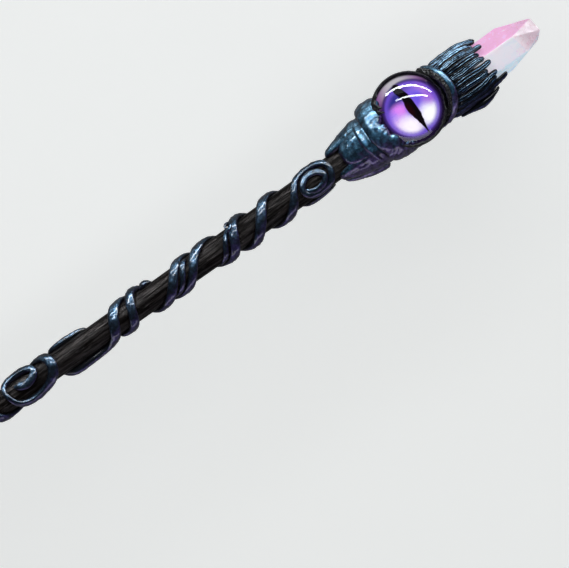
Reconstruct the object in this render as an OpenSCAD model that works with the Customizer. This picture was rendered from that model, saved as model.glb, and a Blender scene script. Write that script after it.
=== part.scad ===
// Hand-made wand: a stained wooden shaft with clay vines wound on it, and a clay head
// that holds a glass eye and a crystal point.
// The shaft lies along +X from its butt at the origin, and the eye looks along +Z.
// Clay strands are given in shaft coordinates: distance along X, angle about X
// (0 is +Y, 90 is +Z, 180 is -Y), radius of the surface they lie on, half width, height.

/* [Shaft] */
// Length of the whole wand, from the butt to the crystal's tip
wand_l = 330; // [320:1:345]
// Diameter of the shaft at its butt
butt_d = 7.6; // [7:0.1:8]
// Diameter of the shaft where it enters the head
neck_d = 9.2; // [8.6:0.1:9.4]
// Length of the straight, bare stretch at the butt
butt_l = 24; // [20:1:24]

/* [Eye] */
// Diameter of the glass dome
eye_d = 25; // [24:0.5:25]
// Height of the glass dome, with its straight edge
eye_h = 7; // [6:0.5:7.5]
// How far the eye sits off the shaft's axis
eye_y = 1.5; // [0:0.1:2]

/* [Crystal] */
// Corner-to-corner width of the crystal
crystal_d = 15.2; // [14:0.1:15.4]

/* [Collar] */
// Number of clay strands round the crystal's root
collar_count = 24; // [20:1:26]

/* [Hidden] */
nominal_l = 330;                  // the length at which the clay's own X values hold
shift = wand_l - nominal_l;       // a longer wand gains bare shaft at its butt
eye_x = 278.2;
seat_z = 4.5;                     // flat seat cut in the core for the bezel's floor
floor_t = 0.8;
bed_t = 0.4;
print_t = 0.2;
girdle_h = 0.8;                   // straight edge of the glass
fit = 0.05;                       // gap between pieces that are glued or pressed together
bezel_wall = 0.4;
core_r = 9;
base_r = core_r + 0.05;           // where clay that is laid on the drum starts
land_r = 7.2;                     // the core under the fold, behind the drum
drum_arc = 16.8;                  // the drum's rear end is an arc about the eye
fold_arc = 18.35;
band_arc = 14.6;                  // radius of the front band about the eye, at the sides
band_swell = 1.6;                 // and how much more it is at the middle
tenon_x = 268;                    // where the shaft ends inside the head
socket_x = 298.7;                 // floor of the crystal's socket
socket_r = 8;
rim_x = 304;                      // the core's crystal end
chamfer = 1;
taper_x = 230;                    // the shaft is straight from here into the head
steps = 3;                        // rings between two knots of a strand
flat_z = -11.2;                   // the head's back is pressed flat there
flat_w = 11;
flat_l = 27;
flat_x = 267;
flare_h = 4.5;                    // clay smoothed out under the bezel, down from its seat
flare_r = 8;

dome_z = seat_z + floor_t + bed_t + print_t;
cap_h = eye_h - girdle_h;
dome_r = (pow(eye_d / 2, 2) + cap_h * cap_h) / (2 * cap_h);
dome_c = dome_z + eye_h - dome_r; // height of the dome sphere's centre
bezel_r = eye_d / 2 + fit + bezel_wall;
hex_turn = 20;                    // turn of the crystal's six sides about X

function strand_name(i) = str("collar_strand_", i < 9 ? "0" : "", i + 1);

// ---------- strands ----------

// Radius of the shaft's surface at x, counted at the nominal length
function shaft_r(x) =
    let (t = min(1, max(0, (x - butt_l - chamfer) / (taper_x - butt_l - chamfer))))
    (butt_d + (neck_d - butt_d) * t) / 2;

// A knot on the shaft: x, angle, lift off the wood, half width, height
function on_shaft(k) = [k[0], k[1], shaft_r(k[0]) + 0.12 + k[2], k[3], k[4]];

// Curve through p1 and p2 that heads along the line from p0 to p3
function between(p0, p1, p2, p3, t) =
    0.5 * (2 * p1 + (p2 - p0) * t + (2 * p0 - 5 * p1 + 4 * p2 - p3) * t * t
           + (3 * p1 - p0 - 3 * p2 + p3) * t * t * t);

function smooth(k, n) =
    let (last = len(k) - 1)
    [for (i = [0:last - 1], j = [0:n - 1])
        between(k[max(i - 1, 0)], k[i], k[i + 1], k[min(i + 2, last)], j / n),
     k[last]];

// Half-round section on a curved base: lateral share and height share of each point
section = concat([for (a = [0:30:180]) [cos(a), sin(a)]], [[0, 0]]);

// One ring of points about knot k, for a strand that runs along d = [dx, arc]
function ring(k, d) =
    let (t = d / norm(d))
    [for (s = section)
        let (x = k[0] - s[0] * k[3] * t[1],
             a = k[1] + s[0] * k[3] * t[0] / k[2] * 180 / PI,
             r = k[2] + s[1] * k[4])
        [x, r * cos(a), r * sin(a)]];

function heading(k, i) =
    let (a = k[max(i - 1, 0)], b = k[min(i + 1, len(k) - 1)])
    [b[0] - a[0], (b[1] - a[1]) * PI / 180 * k[i][2]];

// A clay strand through the knots, closed at both ends
module strand(knots, n = steps) {
    k = smooth(knots, n);
    m = len(section);
    last = (len(k) - 1) * m;
    points = [for (i = [0:len(k) - 1]) each ring(k[i], heading(k, i))];
    sides = [for (i = [0:len(k) - 2], j = [0:m - 1])
        let (a = i * m + j, b = i * m + (j + 1) % m)
        each [[a, b, b + m], [a, b + m, a + m]]];
    ends = [for (j = [1:m - 2]) each [[0, j + 1, j], [last, last + j, last + j + 1]]];
    translate([shift, 0, 0]) polyhedron(points = points, faces = concat(sides, ends), convexity = 8);
}

module shaft_strand(knots) strand([for (k = knots) on_shaft(k)]);

// Turns a profile drawn as [x, radius] about the shaft's axis
module turned(profile)
    rotate([0, 90, 0]) rotate_extrude($fn = 96) polygon([for (p = profile) [p[1], p[0]]]);

// ---------- shaft and vines ----------

module shaft()
    color([0.10, 0.07, 0.06]) turned([
        [0, 0], [0, butt_d / 2 - chamfer], [chamfer, butt_d / 2],
        [butt_l + chamfer, butt_d / 2], [taper_x + shift, neck_d / 2],
        [tenon_x + shift, neck_d / 2], [tenon_x + shift, 0]]);

clay_blue = [0.09, 0.17, 0.30];

// From the long hook behind the shaft, three turns, to the flat curl below the head
module vine_a() color(clay_blue) shaft_strand([
    [146.5, 318, 0, 0.5, 0.6], [145.2, 332, 0, 1.1, 1.5], [141.5, 346, 0, 1.4, 2.0],
    [137, 348, 0, 1.5, 2.1], [133, 334, 0, 1.5, 2.1], [131.4, 295, 0, 1.6, 2.0],
    [132, 245, 0, 1.6, 2.2], [135.5, 208, 0, 1.7, 3.2], [142, 197, 0, 1.7, 2.9],
    [148.5, 190, 0, 1.7, 2.5], [152.5, 152, 0, 1.8, 1.6], [154.4, 110, 0, 1.9, 1.6],
    [156.1, 70, 0, 1.9, 1.8], [158, 35, 0, 1.9, 1.9], [160.5, 0, 0, 1.8, 1.9],
    [164.5, -55, 0, 1.7, 1.8], [168, -110, 0, 1.7, 1.8], [172.5, -175, 0, 1.8, 1.8],
    [176.5, -228, 0, 1.7, 1.6], [179.8, -272, 0, 1.6, 1.6], [182.8, -315, 0, 1.6, 1.7],
    [186, -360, 0, 1.6, 1.6], [190.5, -425, 0, 1.7, 1.7], [195.5, -485, 0, 1.7, 1.7],
    [200.3, -540, 0, 1.8, 1.7], [203.6, -600, 0, 1.7, 1.7], [206, -655, 0, 1.7, 1.8],
    [209, -720, 0, 1.8, 2.0], [213.5, -790, 0, 1.7, 1.8], [218.5, -850, 0, 1.7, 1.8],
    [223, -900, 0, 1.8, 1.7], [226, -938, 0, 1.7, 1.7], [228.8, -976, 0, 1.3, 1.7],
    [231, -1010, 0, 1.0, 1.7], [233.6, -1042, 0, 1.0, 1.8], [237, -1056, 0, 1.0, 1.8],
    [241, -1052, 0, 1.0, 1.8], [244.2, -1026, 0, 1.0, 1.8], [244.9, -992, 0, 1.0, 1.8],
    [243, -958, 0, 1.0, 1.8], [239.2, -944, 0, 1.0, 1.7], [235.8, -948, 0, 1.0, 1.7],
    [233.3, -972, 0, 0.9, 1.7], [233.9, -1002, 0, 0.9, 1.7], [236.8, -1023, 0, 0.9, 1.7],
    [240.2, -1018, 0, 0.9, 1.6], [242.2, -992, 0, 0.9, 1.5], [240.6, -972, 0, 0.8, 1.2],
    [238.4, -966, 0, 0.4, 0.6]]);

// From below the long hook, two and a half turns, to the underside of the flat curl
module vine_b() color(clay_blue) shaft_strand([
    [154.6, 216, 0, 0.5, 0.6], [156, 200, 0, 1.3, 1.4], [159, 180, 0, 1.8, 1.8],
    [161.4, 130, 0, 1.7, 1.6], [162.8, 85, 0, 1.6, 1.6], [164.2, 45, 0, 1.7, 1.9],
    [166.2, 5, 0, 1.7, 2.5], [170.5, -60, 0, 1.6, 1.8], [175.5, -120, 0, 1.6, 1.7],
    [181.2, -180, 0, 1.6, 1.7], [184.8, -225, 0, 1.5, 1.6], [187.6, -265, 0, 1.5, 1.6],
    [190.9, -312, 0, 1.7, 1.7], [195.2, -360, 0, 1.8, 1.7], [200.2, -425, 0, 1.7, 1.7],
    [205, -485, 0, 1.7, 1.8], [209.6, -540, 0, 1.9, 2.2], [213.2, -590, 0, 1.8, 1.8],
    [216.2, -632, 0, 1.8, 1.7], [218.8, -674, 0, 1.8, 1.8], [221.8, -720, 0, 1.8, 1.8],
    [226, -780, 0, 1.6, 1.7], [230.4, -840, 0, 1.5, 1.6], [235, -895, 0, 1.3, 1.5],
    [240, -905, 0, 1.0, 1.2], [243.5, -905, 0, 0.4, 0.6]]);

// From the spiral on the front, down the handle end of the shaft
module vine_c() color(clay_blue) shaft_strand(concat([
    [115.2, 62, 0, 0.5, 0.7], [116.6, 74, 0, 1.2, 1.6], [119.3, 84, 0, 1.4, 1.7],
    [122.2, 76, 0, 1.3, 1.7], [123.8, 56, 0, 1.3, 1.9], [122.8, 33, 0, 1.3, 2.2],
    [119.6, 19, 0, 1.2, 2.5], [115.6, 17, 0, 1.1, 2.3], [112.8, 30, 0, 1.0, 1.8],
    [111.6, 60, 0, 0.9, 1.5], [112, 96, 0, 0.9, 1.6], [113.6, 131, 0, 1.1, 2.0],
    [117, 155, 0, 1.3, 2.5], [121.2, 157, 0, 1.5, 2.3], [125.7, 140, 0, 1.7, 1.9],
    [129, 107, 0, 1.8, 1.8], [130.2, 72, 0, 1.8, 1.9], [129.6, 38, 0, 1.8, 1.9],
    [127.6, 5, 0, 1.8, 1.8], [124, -40, 0, 1.7, 1.7], [119.5, -90, 0, 1.6, 1.7],
    [114, -138, 0, 1.7, 1.8]],
    [for (i = [0:19]) [108.5 - 4.05 * i, -180 - 54 * i, 0, 1.6 + 0.15 * sin(70 * i), 1.7]],
    [[28.2, -1265, 0, 1.2, 1.4], [27.3, -1290, 0, 0.4, 0.5]]));

// Second winding on the handle end of the shaft
module vine_d() color(clay_blue) shaft_strand(concat(
    [[104, -62, 0, 0.4, 0.5], [102.3, -84, 0, 1.2, 1.4]],
    [for (i = [0:15]) [99.4 - 4.05 * i, -124 - 54 * i, 0, 1.6 + 0.15 * sin(50 * i), 1.7]],
    [[35.6, -968, 0, 1.2, 1.4], [34.4, -990, 0, 0.4, 0.5]]));

// Short strand between two turns of the vines
module tendril_mid() color(clay_blue) shaft_strand([
    [177.6, -190, 0, 0.3, 0.4], [179.8, -215, 0, 0.7, 1.0], [182.3, -248, 0, 0.9, 1.3],
    [184.3, -283, 0, 1.0, 1.4], [186, -313, 0, 1.0, 1.3], [187.5, -330, 0, 0.4, 0.5]]);

// Thin strand beside a turn, with a small hook at its end
module tendril_curl() color(clay_blue) shaft_strand([
    [196.4, -556, 0, 0.4, 0.6], [199.2, -590, 0, 0.9, 1.1], [201.3, -630, 0, 0.9, 1.2],
    [202.8, -662, 0, 0.8, 1.2], [204, -684, 0, 0.7, 1.2], [204.7, -702, 0, 0.6, 1.2],
    [204.4, -718, 0, 0.3, 0.5]]);

// Stub lying along the shaft beside the top of vine_b
module tendril_top() color(clay_blue) shaft_strand([
    [168.9, 16, 0, 0.5, 1.0], [170.2, 12, 0, 1.1, 1.8], [171.8, 6, 0, 1.1, 1.8],
    [173.6, 2, 0, 0.4, 0.5]]);

// Stub on the shaft beside the flat curl
module tendril_neck() color(clay_blue) shaft_strand([
    [236.5, -66, 0, 0.5, 0.6], [238.6, -40, 0, 1.1, 1.4], [241, -14, 0, 1.2, 1.6],
    [242.8, -2, 0, 0.4, 0.6]]);

// ---------- head ----------

// Radius of the drum's rear end and of the strips, as X at angle a on a surface of radius r
function beside_eye(side, arc, a, r) = eye_x + side * sqrt(arc * arc - pow(r * cos(a) - eye_y, 2));

// Outside of the core: a neck cone, a land for the fold, a drum and a flat back
module core_blank() translate([shift, 0, 0]) {
    turned([[250, 0], [250, 4.8], [258, 6.6], [258.3, land_r], [270, land_r], [270, 0]]);
    intersection() {
        turned([[258, 0], [258, core_r], [rim_x, core_r], [rim_x, 0]]);
        union() {
            translate([eye_x, eye_y, -20]) cylinder(h = 40, r = drum_arc, $fn = 96);
            translate([eye_x, -20, -20]) cube([30, 40, 40]);
        }
    }
    translate([eye_x, eye_y, 0]) flare(0);
    translate([flat_x, 0, flat_z]) linear_extrude(height = 5) {
        translate([flat_w / 2, -flat_w / 2]) square([flat_l - flat_w, flat_w]);
        translate([flat_w / 2, 0]) circle(d = flat_w, $fn = 64);
        translate([flat_l - flat_w / 2, 0]) circle(d = flat_w, $fn = 64);
    }
}

module at_eye() translate([eye_x + shift, eye_y, 0]) children();

// Cone of clay under the bezel, grown by g
module flare(g) translate([0, 0, seat_z - flare_h])
    cylinder(h = flare_h, r1 = flare_r + g, r2 = bezel_r - 0.5 + g, $fn = 96);

// Sphere cap and straight edge of the glass, grown by g
module dome_shape(g) {
    at_eye() translate([0, 0, dome_z]) cylinder(h = girdle_h, r = eye_d / 2 + g, $fn = 96);
    at_eye() intersection() {
        translate([0, 0, dome_c]) sphere(r = dome_r + g, $fn = 96);
        translate([0, 0, dome_z + girdle_h]) cylinder(h = eye_h, r = eye_d / 2 + g, $fn = 96);
    }
}

// Space that the eye and its bezel take, for cutting the clay round them
module eye_room() {
    dome_shape(fit);
    at_eye() translate([0, 0, seat_z - fit])
        cylinder(h = dome_z + girdle_h + 1.5 - seat_z + fit, r = bezel_r + fit, $fn = 96);
    at_eye() flare(fit);
}

module head_core() color([0.07, 0.07, 0.09]) difference() {
    core_blank();
    translate([249 + shift, 0, 0]) rotate([0, 90, 0])
        cylinder(h = tenon_x + fit - 249, d = neck_d + 2 * fit, $fn = 96);
    translate([socket_x + shift, 0, 0]) rotate([0, 90, 0]) cylinder(h = 10, r = socket_r, $fn = 96);
    at_eye() translate([0, 0, seat_z]) cylinder(h = 20, r = bezel_r + fit, $fn = 96);
}

// A leaf whose tip lies on the shaft and whose root is tucked under the fold
leaf_root = 258.2;
function core_slope(x) = max(shaft_r(x) + 0.12, 4.85 + (x - 250) * 0.226);
module leaf(tip_x, angle, half_w, height)
    strand([for (s = [[0, 0.4, 0.3], [0.06, 0.7, 0.58], [0.2, 0.93, 0.8], [0.45, 1, 0.93],
                      [0.75, 1, 1], [1, 0.95, 0.88]])
        let (x = tip_x + (leaf_root - tip_x) * s[0])
        [x, angle, core_slope(x), half_w * s[1] * core_slope(x) / 5.6, height * s[2]]], 2);

module leaf_front() color([0.08, 0.28, 0.34]) leaf(250.2, 76, 3.8, 2.8);
module leaf_upper() color([0.08, 0.20, 0.32]) leaf(246, 14, 2.1, 3.4);
module leaf_lower() color([0.20, 0.15, 0.34]) leaf(246.2, 143, 2.5, 3.3);
module leaf_under() color([0.10, 0.10, 0.18]) leaf(247, 188, 1.7, 3.7);
module leaf_back_lower() color(clay_blue) leaf(248.5, 232, 2.4, 3.2);
module leaf_back() color(clay_blue) leaf(247, 284, 2.4, 3.0);
module leaf_back_upper() color(clay_blue) leaf(249, 330, 2.0, 3.1);

// A strip that lies on radius r and follows an arc about the eye, thin at both ends
module eye_strip(side, from, to, arc, swell, r, half_w, height, lean) {
    count = 10;
    strand([for (i = [0:count])
        let (t = i / count, a = from + (to - from) * t,
             taper = 0.3 + 0.7 * pow(sin(180 * t), 0.5),
             reach = arc + swell * pow(max(0, sin(a)), 1.5))
        [beside_eye(side, reach, a, r + 1), a, r, half_w * taper, (height + lean * cos(a)) * taper]]);
}

// Raised fold between the leaves and the rear lid
module rear_fold() color([0.12, 0.30, 0.42])
    eye_strip(-1, -44, 224, fold_arc, 0, land_r + 0.12, 1.25, 2.5, 0);

// Wide strip over the glass on the shaft's side
module rear_lid() color([0.10, 0.30, 0.38]) difference() {
    front = [for (k = [[-42, 13.6, 1.4, 1.0], [-12, 13.4, 2.8, 3.2], [14, 13.35, 3.4, 3.8],
                       [48, 13.3, 3.45, 3.3], [85, 13.3, 3.45, 2.5], [120, 13.4, 3.4, 2.3],
                       [148, 13.6, 3.1, 2.1]])
        [beside_eye(-1, k[1], k[0], base_r + k[3] / 2), k[0], base_r, k[2], k[3]]];
    strand(concat(front, [[275, 172, base_r, 2.8, 2.1], [279.4, 190, base_r, 2.0, 1.9],
                          [283.4, 206, base_r, 0.8, 1.0]]));
    eye_room();
    translate([256 + shift, 0, 0]) rotate([0, 90, 0]) cylinder(h = 40, r = core_r + 0.02, $fn = 96);
}

// Rough dark strip between the bezel and the front band
module front_inner_band() color([0.05, 0.05, 0.07])
    eye_strip(1, 38, 142, band_arc - 1.75, band_swell, base_r, 0.68, 1.5, 0.2);

// Smooth strip that closes the head on the crystal's side
module front_band() color([0.11, 0.22, 0.36]) difference() {
    eye_strip(1, -42, 212, band_arc, band_swell, base_r, 1.05, 2.0, 0.45);
    eye_room();
}

// ---------- eye ----------

// Clay cup whose lip leans over the edge of the glass
module eye_bezel() color([0.03, 0.03, 0.04]) at_eye() rotate_extrude($fn = 96) polygon([
    [0, seat_z], [bezel_r, seat_z], [bezel_r, dome_z + girdle_h + 0.6],
    [bezel_r - 0.4, dome_z + girdle_h + 1.4], [eye_d / 2 - 0.5, dome_z + girdle_h + 1.4],
    [eye_d / 2 - 0.5, dome_z + girdle_h + 0.75], [eye_d / 2 + fit, dome_z + girdle_h + 0.15],
    [eye_d / 2 + fit, seat_z + floor_t], [0, seat_z + floor_t]]);

module eye_bed() color([0.05, 0.05, 0.06]) at_eye()
    translate([0, 0, seat_z + floor_t]) cylinder(h = bed_t, d = eye_d - 0.4, $fn = 96);

module iris_print() color([0.45, 0.20, 0.85]) at_eye()
    translate([0, 0, dome_z - print_t]) cylinder(h = print_t, d = eye_d - 0.2, $fn = 96);

module eye_glass() color([0.85, 0.80, 0.95, 0.35]) dome_shape(0);

// ---------- crystal and collar ----------

// Six corners of the crystal's cross-section at x, scaled by s
function hexagon(x, s) =
    [for (i = [0:5])
        let (a = hex_turn + 60 * i)
        [x, s * crystal_d / 2 * cos(a), s * crystal_d / 2 * sin(a)]];

// A six-sided point: rough root, straight sides, then facets that meet in a short edge
module crystal_point() color([0.93, 0.78, 0.88, 0.8]) translate([shift, 0, 0]) {
    r = crystal_d / 2;
    shoulder = [317.5, 320.5, 322.5, 320.5, 316.5, 315];
    points = concat(
        hexagon(socket_x + 0.4, 0.97),
        [for (i = [0:5]) let (a = hex_turn + 60 * i) [shoulder[i], r * cos(a), r * sin(a)]],
        [[329.4, 3.1, 0.9], [330, -2.3, 1.3], [327.6, -4.6, 0.4], [329.2, -1.2, -2.2],
         [328.8, 2.2, -1.8]]);
    hull() polyhedron(points = points, faces = [for (i = [0:len(points) - 3]) [i, i + 1, i + 2]]);
}

// Adhesive between the six-sided root and the round socket
module crystal_adhesive() color([0.75, 0.72, 0.68]) translate([shift, 0, 0]) difference() {
    translate([socket_x + 0.02, 0, 0]) rotate([0, 90, 0])
        cylinder(h = rim_x - socket_x - 0.02, r = socket_r - 0.02, $fn = 96);
    translate([socket_x + 0.38, 0, 0]) rotate([90, 0, 90]) rotate(hex_turn)
        cylinder(h = 10, r = crystal_d / 2 + 0.02, $fn = 6);
}

// Where a collar strand starts: just clear of the front band, and of the flat back
function collar_start(a) =
    max(beside_eye(1, band_arc + 1.25 + band_swell * pow(max(0, sin(a)), 1.5), a, base_r + 1),
        a > 225 && a < 315 ? flat_x + flat_l + 0.8 : 0);

module collar_strand(i) {
    pitch = 360 / collar_count;
    angle = pitch * (i + 0.5);
    sway = 0.12 * pitch * sin(97 * i);
    half_w = base_r * tan(0.47 * pitch);
    x0 = collar_start(angle);
    x1 = 309 + 1.5 * sin(137 * i + 30);
    color([0.07, 0.13, 0.22]) strand([
        [x0, angle, base_r, half_w * 0.6, 0.8],
        [x0 + 2, angle + sway * 0.3, base_r, half_w * 0.95, 1.4],
        [(x0 + 303.5) / 2, angle + sway, base_r, half_w, 1.65 + 0.15 * sin(211 * i)],
        [303.2, angle, base_r, half_w, 1.6],
        [306.4, angle - sway, 8.3, half_w * 0.9, 1.4],
        [x1 - 1, angle, 7.85, half_w * 0.75, 1.1],
        [x1, angle, 7.8, half_w * 0.35, 0.5]], 2);
}

// Thick strand laid over the collar on its lower side
module collar_over_strand() color([0.06, 0.10, 0.18]) strand([
    [291.5, 178, 10.85, 0.5, 0.5], [295.5, 176, 10.9, 1.1, 1.1], [300, 174, 10.95, 1.5, 2.0],
    [304.5, 174, 10.9, 1.3, 1.0], [307.5, 176, 10.2, 0.5, 0.5]]);

shaft();
vine_a();
vine_b();
vine_c();
vine_d();
tendril_mid();
tendril_curl();
tendril_top();
tendril_neck();
head_core();
leaf_front();
leaf_upper();
leaf_lower();
leaf_under();
leaf_back_lower();
leaf_back();
leaf_back_upper();
rear_fold();
rear_lid();
front_inner_band();
front_band();
eye_bezel();
eye_bed();
iris_print();
eye_glass();
crystal_adhesive();
crystal_point();
collar_over_strand();
for (i = [0:collar_count - 1])
    collar_strand(i);
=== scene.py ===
"""Looks of a handmade wand: stained wood, mica-rubbed clay vines, a glass eye and a crystal point.

The shaft lies along +X from its butt at the origin and the eye looks along +Z. Clay strands are
given the way the maker lays them: distance along the shaft, angle about it (0 is +Y, 90 is +Z,
180 is -Y), the radius of the surface they lie on, their half width and their height. Sizes in the
classes are millimetres; meshes are metres.
"""

from __future__ import annotations

import logging
import math
from dataclasses import dataclass, replace
from enum import Enum
from functools import cache, reduce
from typing import Iterable, Sequence

import bmesh
import bpy
import numpy as np
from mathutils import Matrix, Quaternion, Vector, noise

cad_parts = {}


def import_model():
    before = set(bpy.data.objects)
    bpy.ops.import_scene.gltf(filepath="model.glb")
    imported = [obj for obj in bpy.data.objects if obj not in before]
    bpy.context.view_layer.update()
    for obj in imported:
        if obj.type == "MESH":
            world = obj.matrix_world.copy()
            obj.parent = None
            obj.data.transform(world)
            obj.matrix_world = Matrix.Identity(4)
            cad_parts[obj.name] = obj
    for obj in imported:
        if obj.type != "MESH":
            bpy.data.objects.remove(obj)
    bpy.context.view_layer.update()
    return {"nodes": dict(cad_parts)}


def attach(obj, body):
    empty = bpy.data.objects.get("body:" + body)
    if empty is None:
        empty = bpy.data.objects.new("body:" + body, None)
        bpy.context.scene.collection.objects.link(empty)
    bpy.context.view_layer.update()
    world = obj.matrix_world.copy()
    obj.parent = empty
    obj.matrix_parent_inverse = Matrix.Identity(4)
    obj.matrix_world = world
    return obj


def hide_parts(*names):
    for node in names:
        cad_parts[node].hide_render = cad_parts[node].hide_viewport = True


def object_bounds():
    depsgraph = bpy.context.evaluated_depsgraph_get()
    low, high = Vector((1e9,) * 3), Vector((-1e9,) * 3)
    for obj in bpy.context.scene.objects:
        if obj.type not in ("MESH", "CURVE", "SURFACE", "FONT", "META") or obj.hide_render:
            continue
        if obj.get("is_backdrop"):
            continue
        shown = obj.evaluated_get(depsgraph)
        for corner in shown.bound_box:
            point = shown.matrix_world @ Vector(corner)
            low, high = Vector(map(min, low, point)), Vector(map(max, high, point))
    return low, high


LOG = logging.getLogger("wand")
MM = 0.001
TURN = 2.0 * math.pi
BODY = "root"
STRAND = "strand"  # attribute: distance along in metres, share across from -1 to 1, share of the height
EYE = (278.2, 1.5)  # the eye's centre, along the shaft and across it

Colour = tuple[float, float, float]
Knot = tuple[float, float, float, float, float]
Row = tuple[float, ...]
Socket = bpy.types.NodeSocket


# ---- Node helpers ----


class NodeKit:
    """Short ways to add and join nodes in one tree."""

    def __init__(self, tree: bpy.types.NodeTree) -> None:
        """Works on the given tree."""
        self.tree = tree

    def feed(self, socket: Socket, value: object) -> None:
        """Links a socket to another, or gives it a plain value.

        Args:
            socket: the input.
            value: an output socket or a value; a colour may leave out its alpha.
        """
        if isinstance(value, bpy.types.NodeSocket):
            self.tree.links.new(value, socket)
        elif socket.type == "RGBA" and len(value) == 3:
            socket.default_value = (*value, 1.0)
        else:
            socket.default_value = value

    def feed_all(self, node: bpy.types.Node, inputs: dict) -> None:
        """Feeds a node's inputs, given by name or index."""
        for key, value in inputs.items():
            self.feed(node.inputs[key], value)

    def add(self, kind: str, inputs: dict | None = None, **settings: object) -> bpy.types.Node:
        """Adds a node.

        Args:
            kind: the node's type name.
            inputs: socket name or index to value or socket.
            settings: the node's own properties.

        Returns:
            The node.
        """
        node = self.tree.nodes.new(kind)
        for key, value in settings.items():
            setattr(node, key, value)
        self.feed_all(node, inputs or {})
        return node

    def calc(self, operation: str, *values: object, clamp: bool = False) -> Socket:
        """A Math node's result."""
        node = self.add("ShaderNodeMath", dict(enumerate(values)), operation=operation, use_clamp=clamp)
        return node.outputs[0]

    def times(self, *values: object) -> Socket:
        """The product of the values."""
        return reduce(lambda a, b: self.calc("MULTIPLY", a, b), values)

    def plus(self, a: object, b: object) -> Socket:
        """The sum of two values."""
        return self.calc("ADD", a, b)

    def minus(self, a: object, b: object) -> Socket:
        """The first value less the second."""
        return self.calc("SUBTRACT", a, b)

    def size(self, value: object) -> Socket:
        """The value without its sign."""
        return self.calc("ABSOLUTE", value)

    def vector(self, operation: str, *values: object) -> Socket:
        """A Vector Math node's vector."""
        return self.add("ShaderNodeVectorMath", dict(enumerate(values)), operation=operation).outputs[0]

    def scaled(self, vector: Socket, factors: Sequence[float]) -> Socket:
        """The vector times three factors."""
        return self.vector("MULTIPLY", vector, tuple(factors))

    def dot(self, a: object, b: object) -> Socket:
        """The dot product of two vectors."""
        return self.add("ShaderNodeVectorMath", {0: a, 1: b}, operation="DOT_PRODUCT").outputs["Value"]

    def xyz(self, x: object, y: object, z: object) -> Socket:
        """A vector from three values."""
        return self.add("ShaderNodeCombineXYZ", {0: x, 1: y, 2: z}).outputs[0]

    def split(self, vector: Socket) -> tuple[Socket, Socket, Socket]:
        """A vector's three values."""
        return tuple(self.add("ShaderNodeSeparateXYZ", {0: vector}).outputs)

    def span(self, value: object, low: object, high: object, to_low: object = 0.0,
             to_high: object = 1.0, smooth: bool = True) -> Socket:
        """A value taken from one range to another, held at both ends.

        Args:
            value: what is taken.
            low: where the first range starts.
            high: where it ends.
            to_low: what low becomes.
            to_high: what high becomes.
            smooth: whether it eases in and out.

        Returns:
            The result.
        """
        node = self.add(
            "ShaderNodeMapRange",
            {"Value": value, "From Min": low, "From Max": high, "To Min": to_low, "To Max": to_high},
            interpolation_type="SMOOTHSTEP" if smooth else "LINEAR",
        )
        return node.outputs[0]

    def mix(self, factor: object, a: object, b: object) -> Socket:
        """Two colours mixed.

        Args:
            factor: the share of the second.
            a: the first.
            b: the second.

        Returns:
            The mixed colour.
        """
        node = self.add("ShaderNodeMix", {"Factor": factor}, data_type="RGBA")
        colours = [s for s in node.inputs if s.type == "RGBA"]
        for socket, value in zip(colours, (a, b)):
            self.feed(socket, value)
        return next(s for s in node.outputs if s.type == "RGBA")

    def noise(self, vector: Socket, size: float, detail: float = 2.0, roughness: float = 0.5,
              seed: object = 0.0, distortion: float = 0.0) -> Socket:
        """Noise from 0 to 1 whose lumps are about size metres across.

        Args:
            vector: where it is read.
            size: the size of its lumps.
            detail: how many finer layers it has.
            roughness: how strong they are.
            seed: moves the pattern.
            distortion: how far it is warped.

        Returns:
            The noise.
        """
        node = self.add(
            "ShaderNodeTexNoise",
            {"Vector": vector, "W": seed, "Scale": 1.0 / size, "Detail": detail,
             "Roughness": roughness, "Distortion": distortion},
            noise_dimensions="4D",
        )
        return node.outputs[0]

    def bump(self, shader: bpy.types.Node, height: Socket, deep: float, strength: float = 1.0) -> None:
        """Gives a shader a bump that is deep millimetres at most.

        Args:
            shader: the material's shader.
            height: the bump's height, 0 to 1.
            deep: how deep it is, in millimetres.
            strength: how much of it shows.
        """
        bump = self.add("ShaderNodeBump", {"Height": height, "Strength": strength, "Distance": deep * MM})
        self.feed(shader.inputs["Normal"], bump.outputs[0])


def new_group(name: str, kind: str, inputs: Iterable[tuple], outputs: Iterable[tuple]
              ) -> tuple[bpy.types.NodeTree, NodeKit, bpy.types.NodeOutputs]:
    """Starts a node group with named sockets.

    Args:
        name: the group's name.
        kind: Shader or Geometry.
        inputs: for each, its name, its kind and, where it has one, its default.
        outputs: the same for each output.

    Returns:
        The group's tree, a kit for it, and what its input node puts out.
    """
    tree = bpy.data.node_groups.new(name, kind + "NodeTree")
    for side, wanted in (("INPUT", inputs), ("OUTPUT", outputs)):
        for label, sort, *default in wanted:
            socket = tree.interface.new_socket(label, in_out=side, socket_type="NodeSocket" + sort)
            if default:
                socket.default_value = default[0]
    kit = NodeKit(tree)
    return tree, kit, kit.add("NodeGroupInput").outputs


# ---- Shader groups ----


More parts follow.
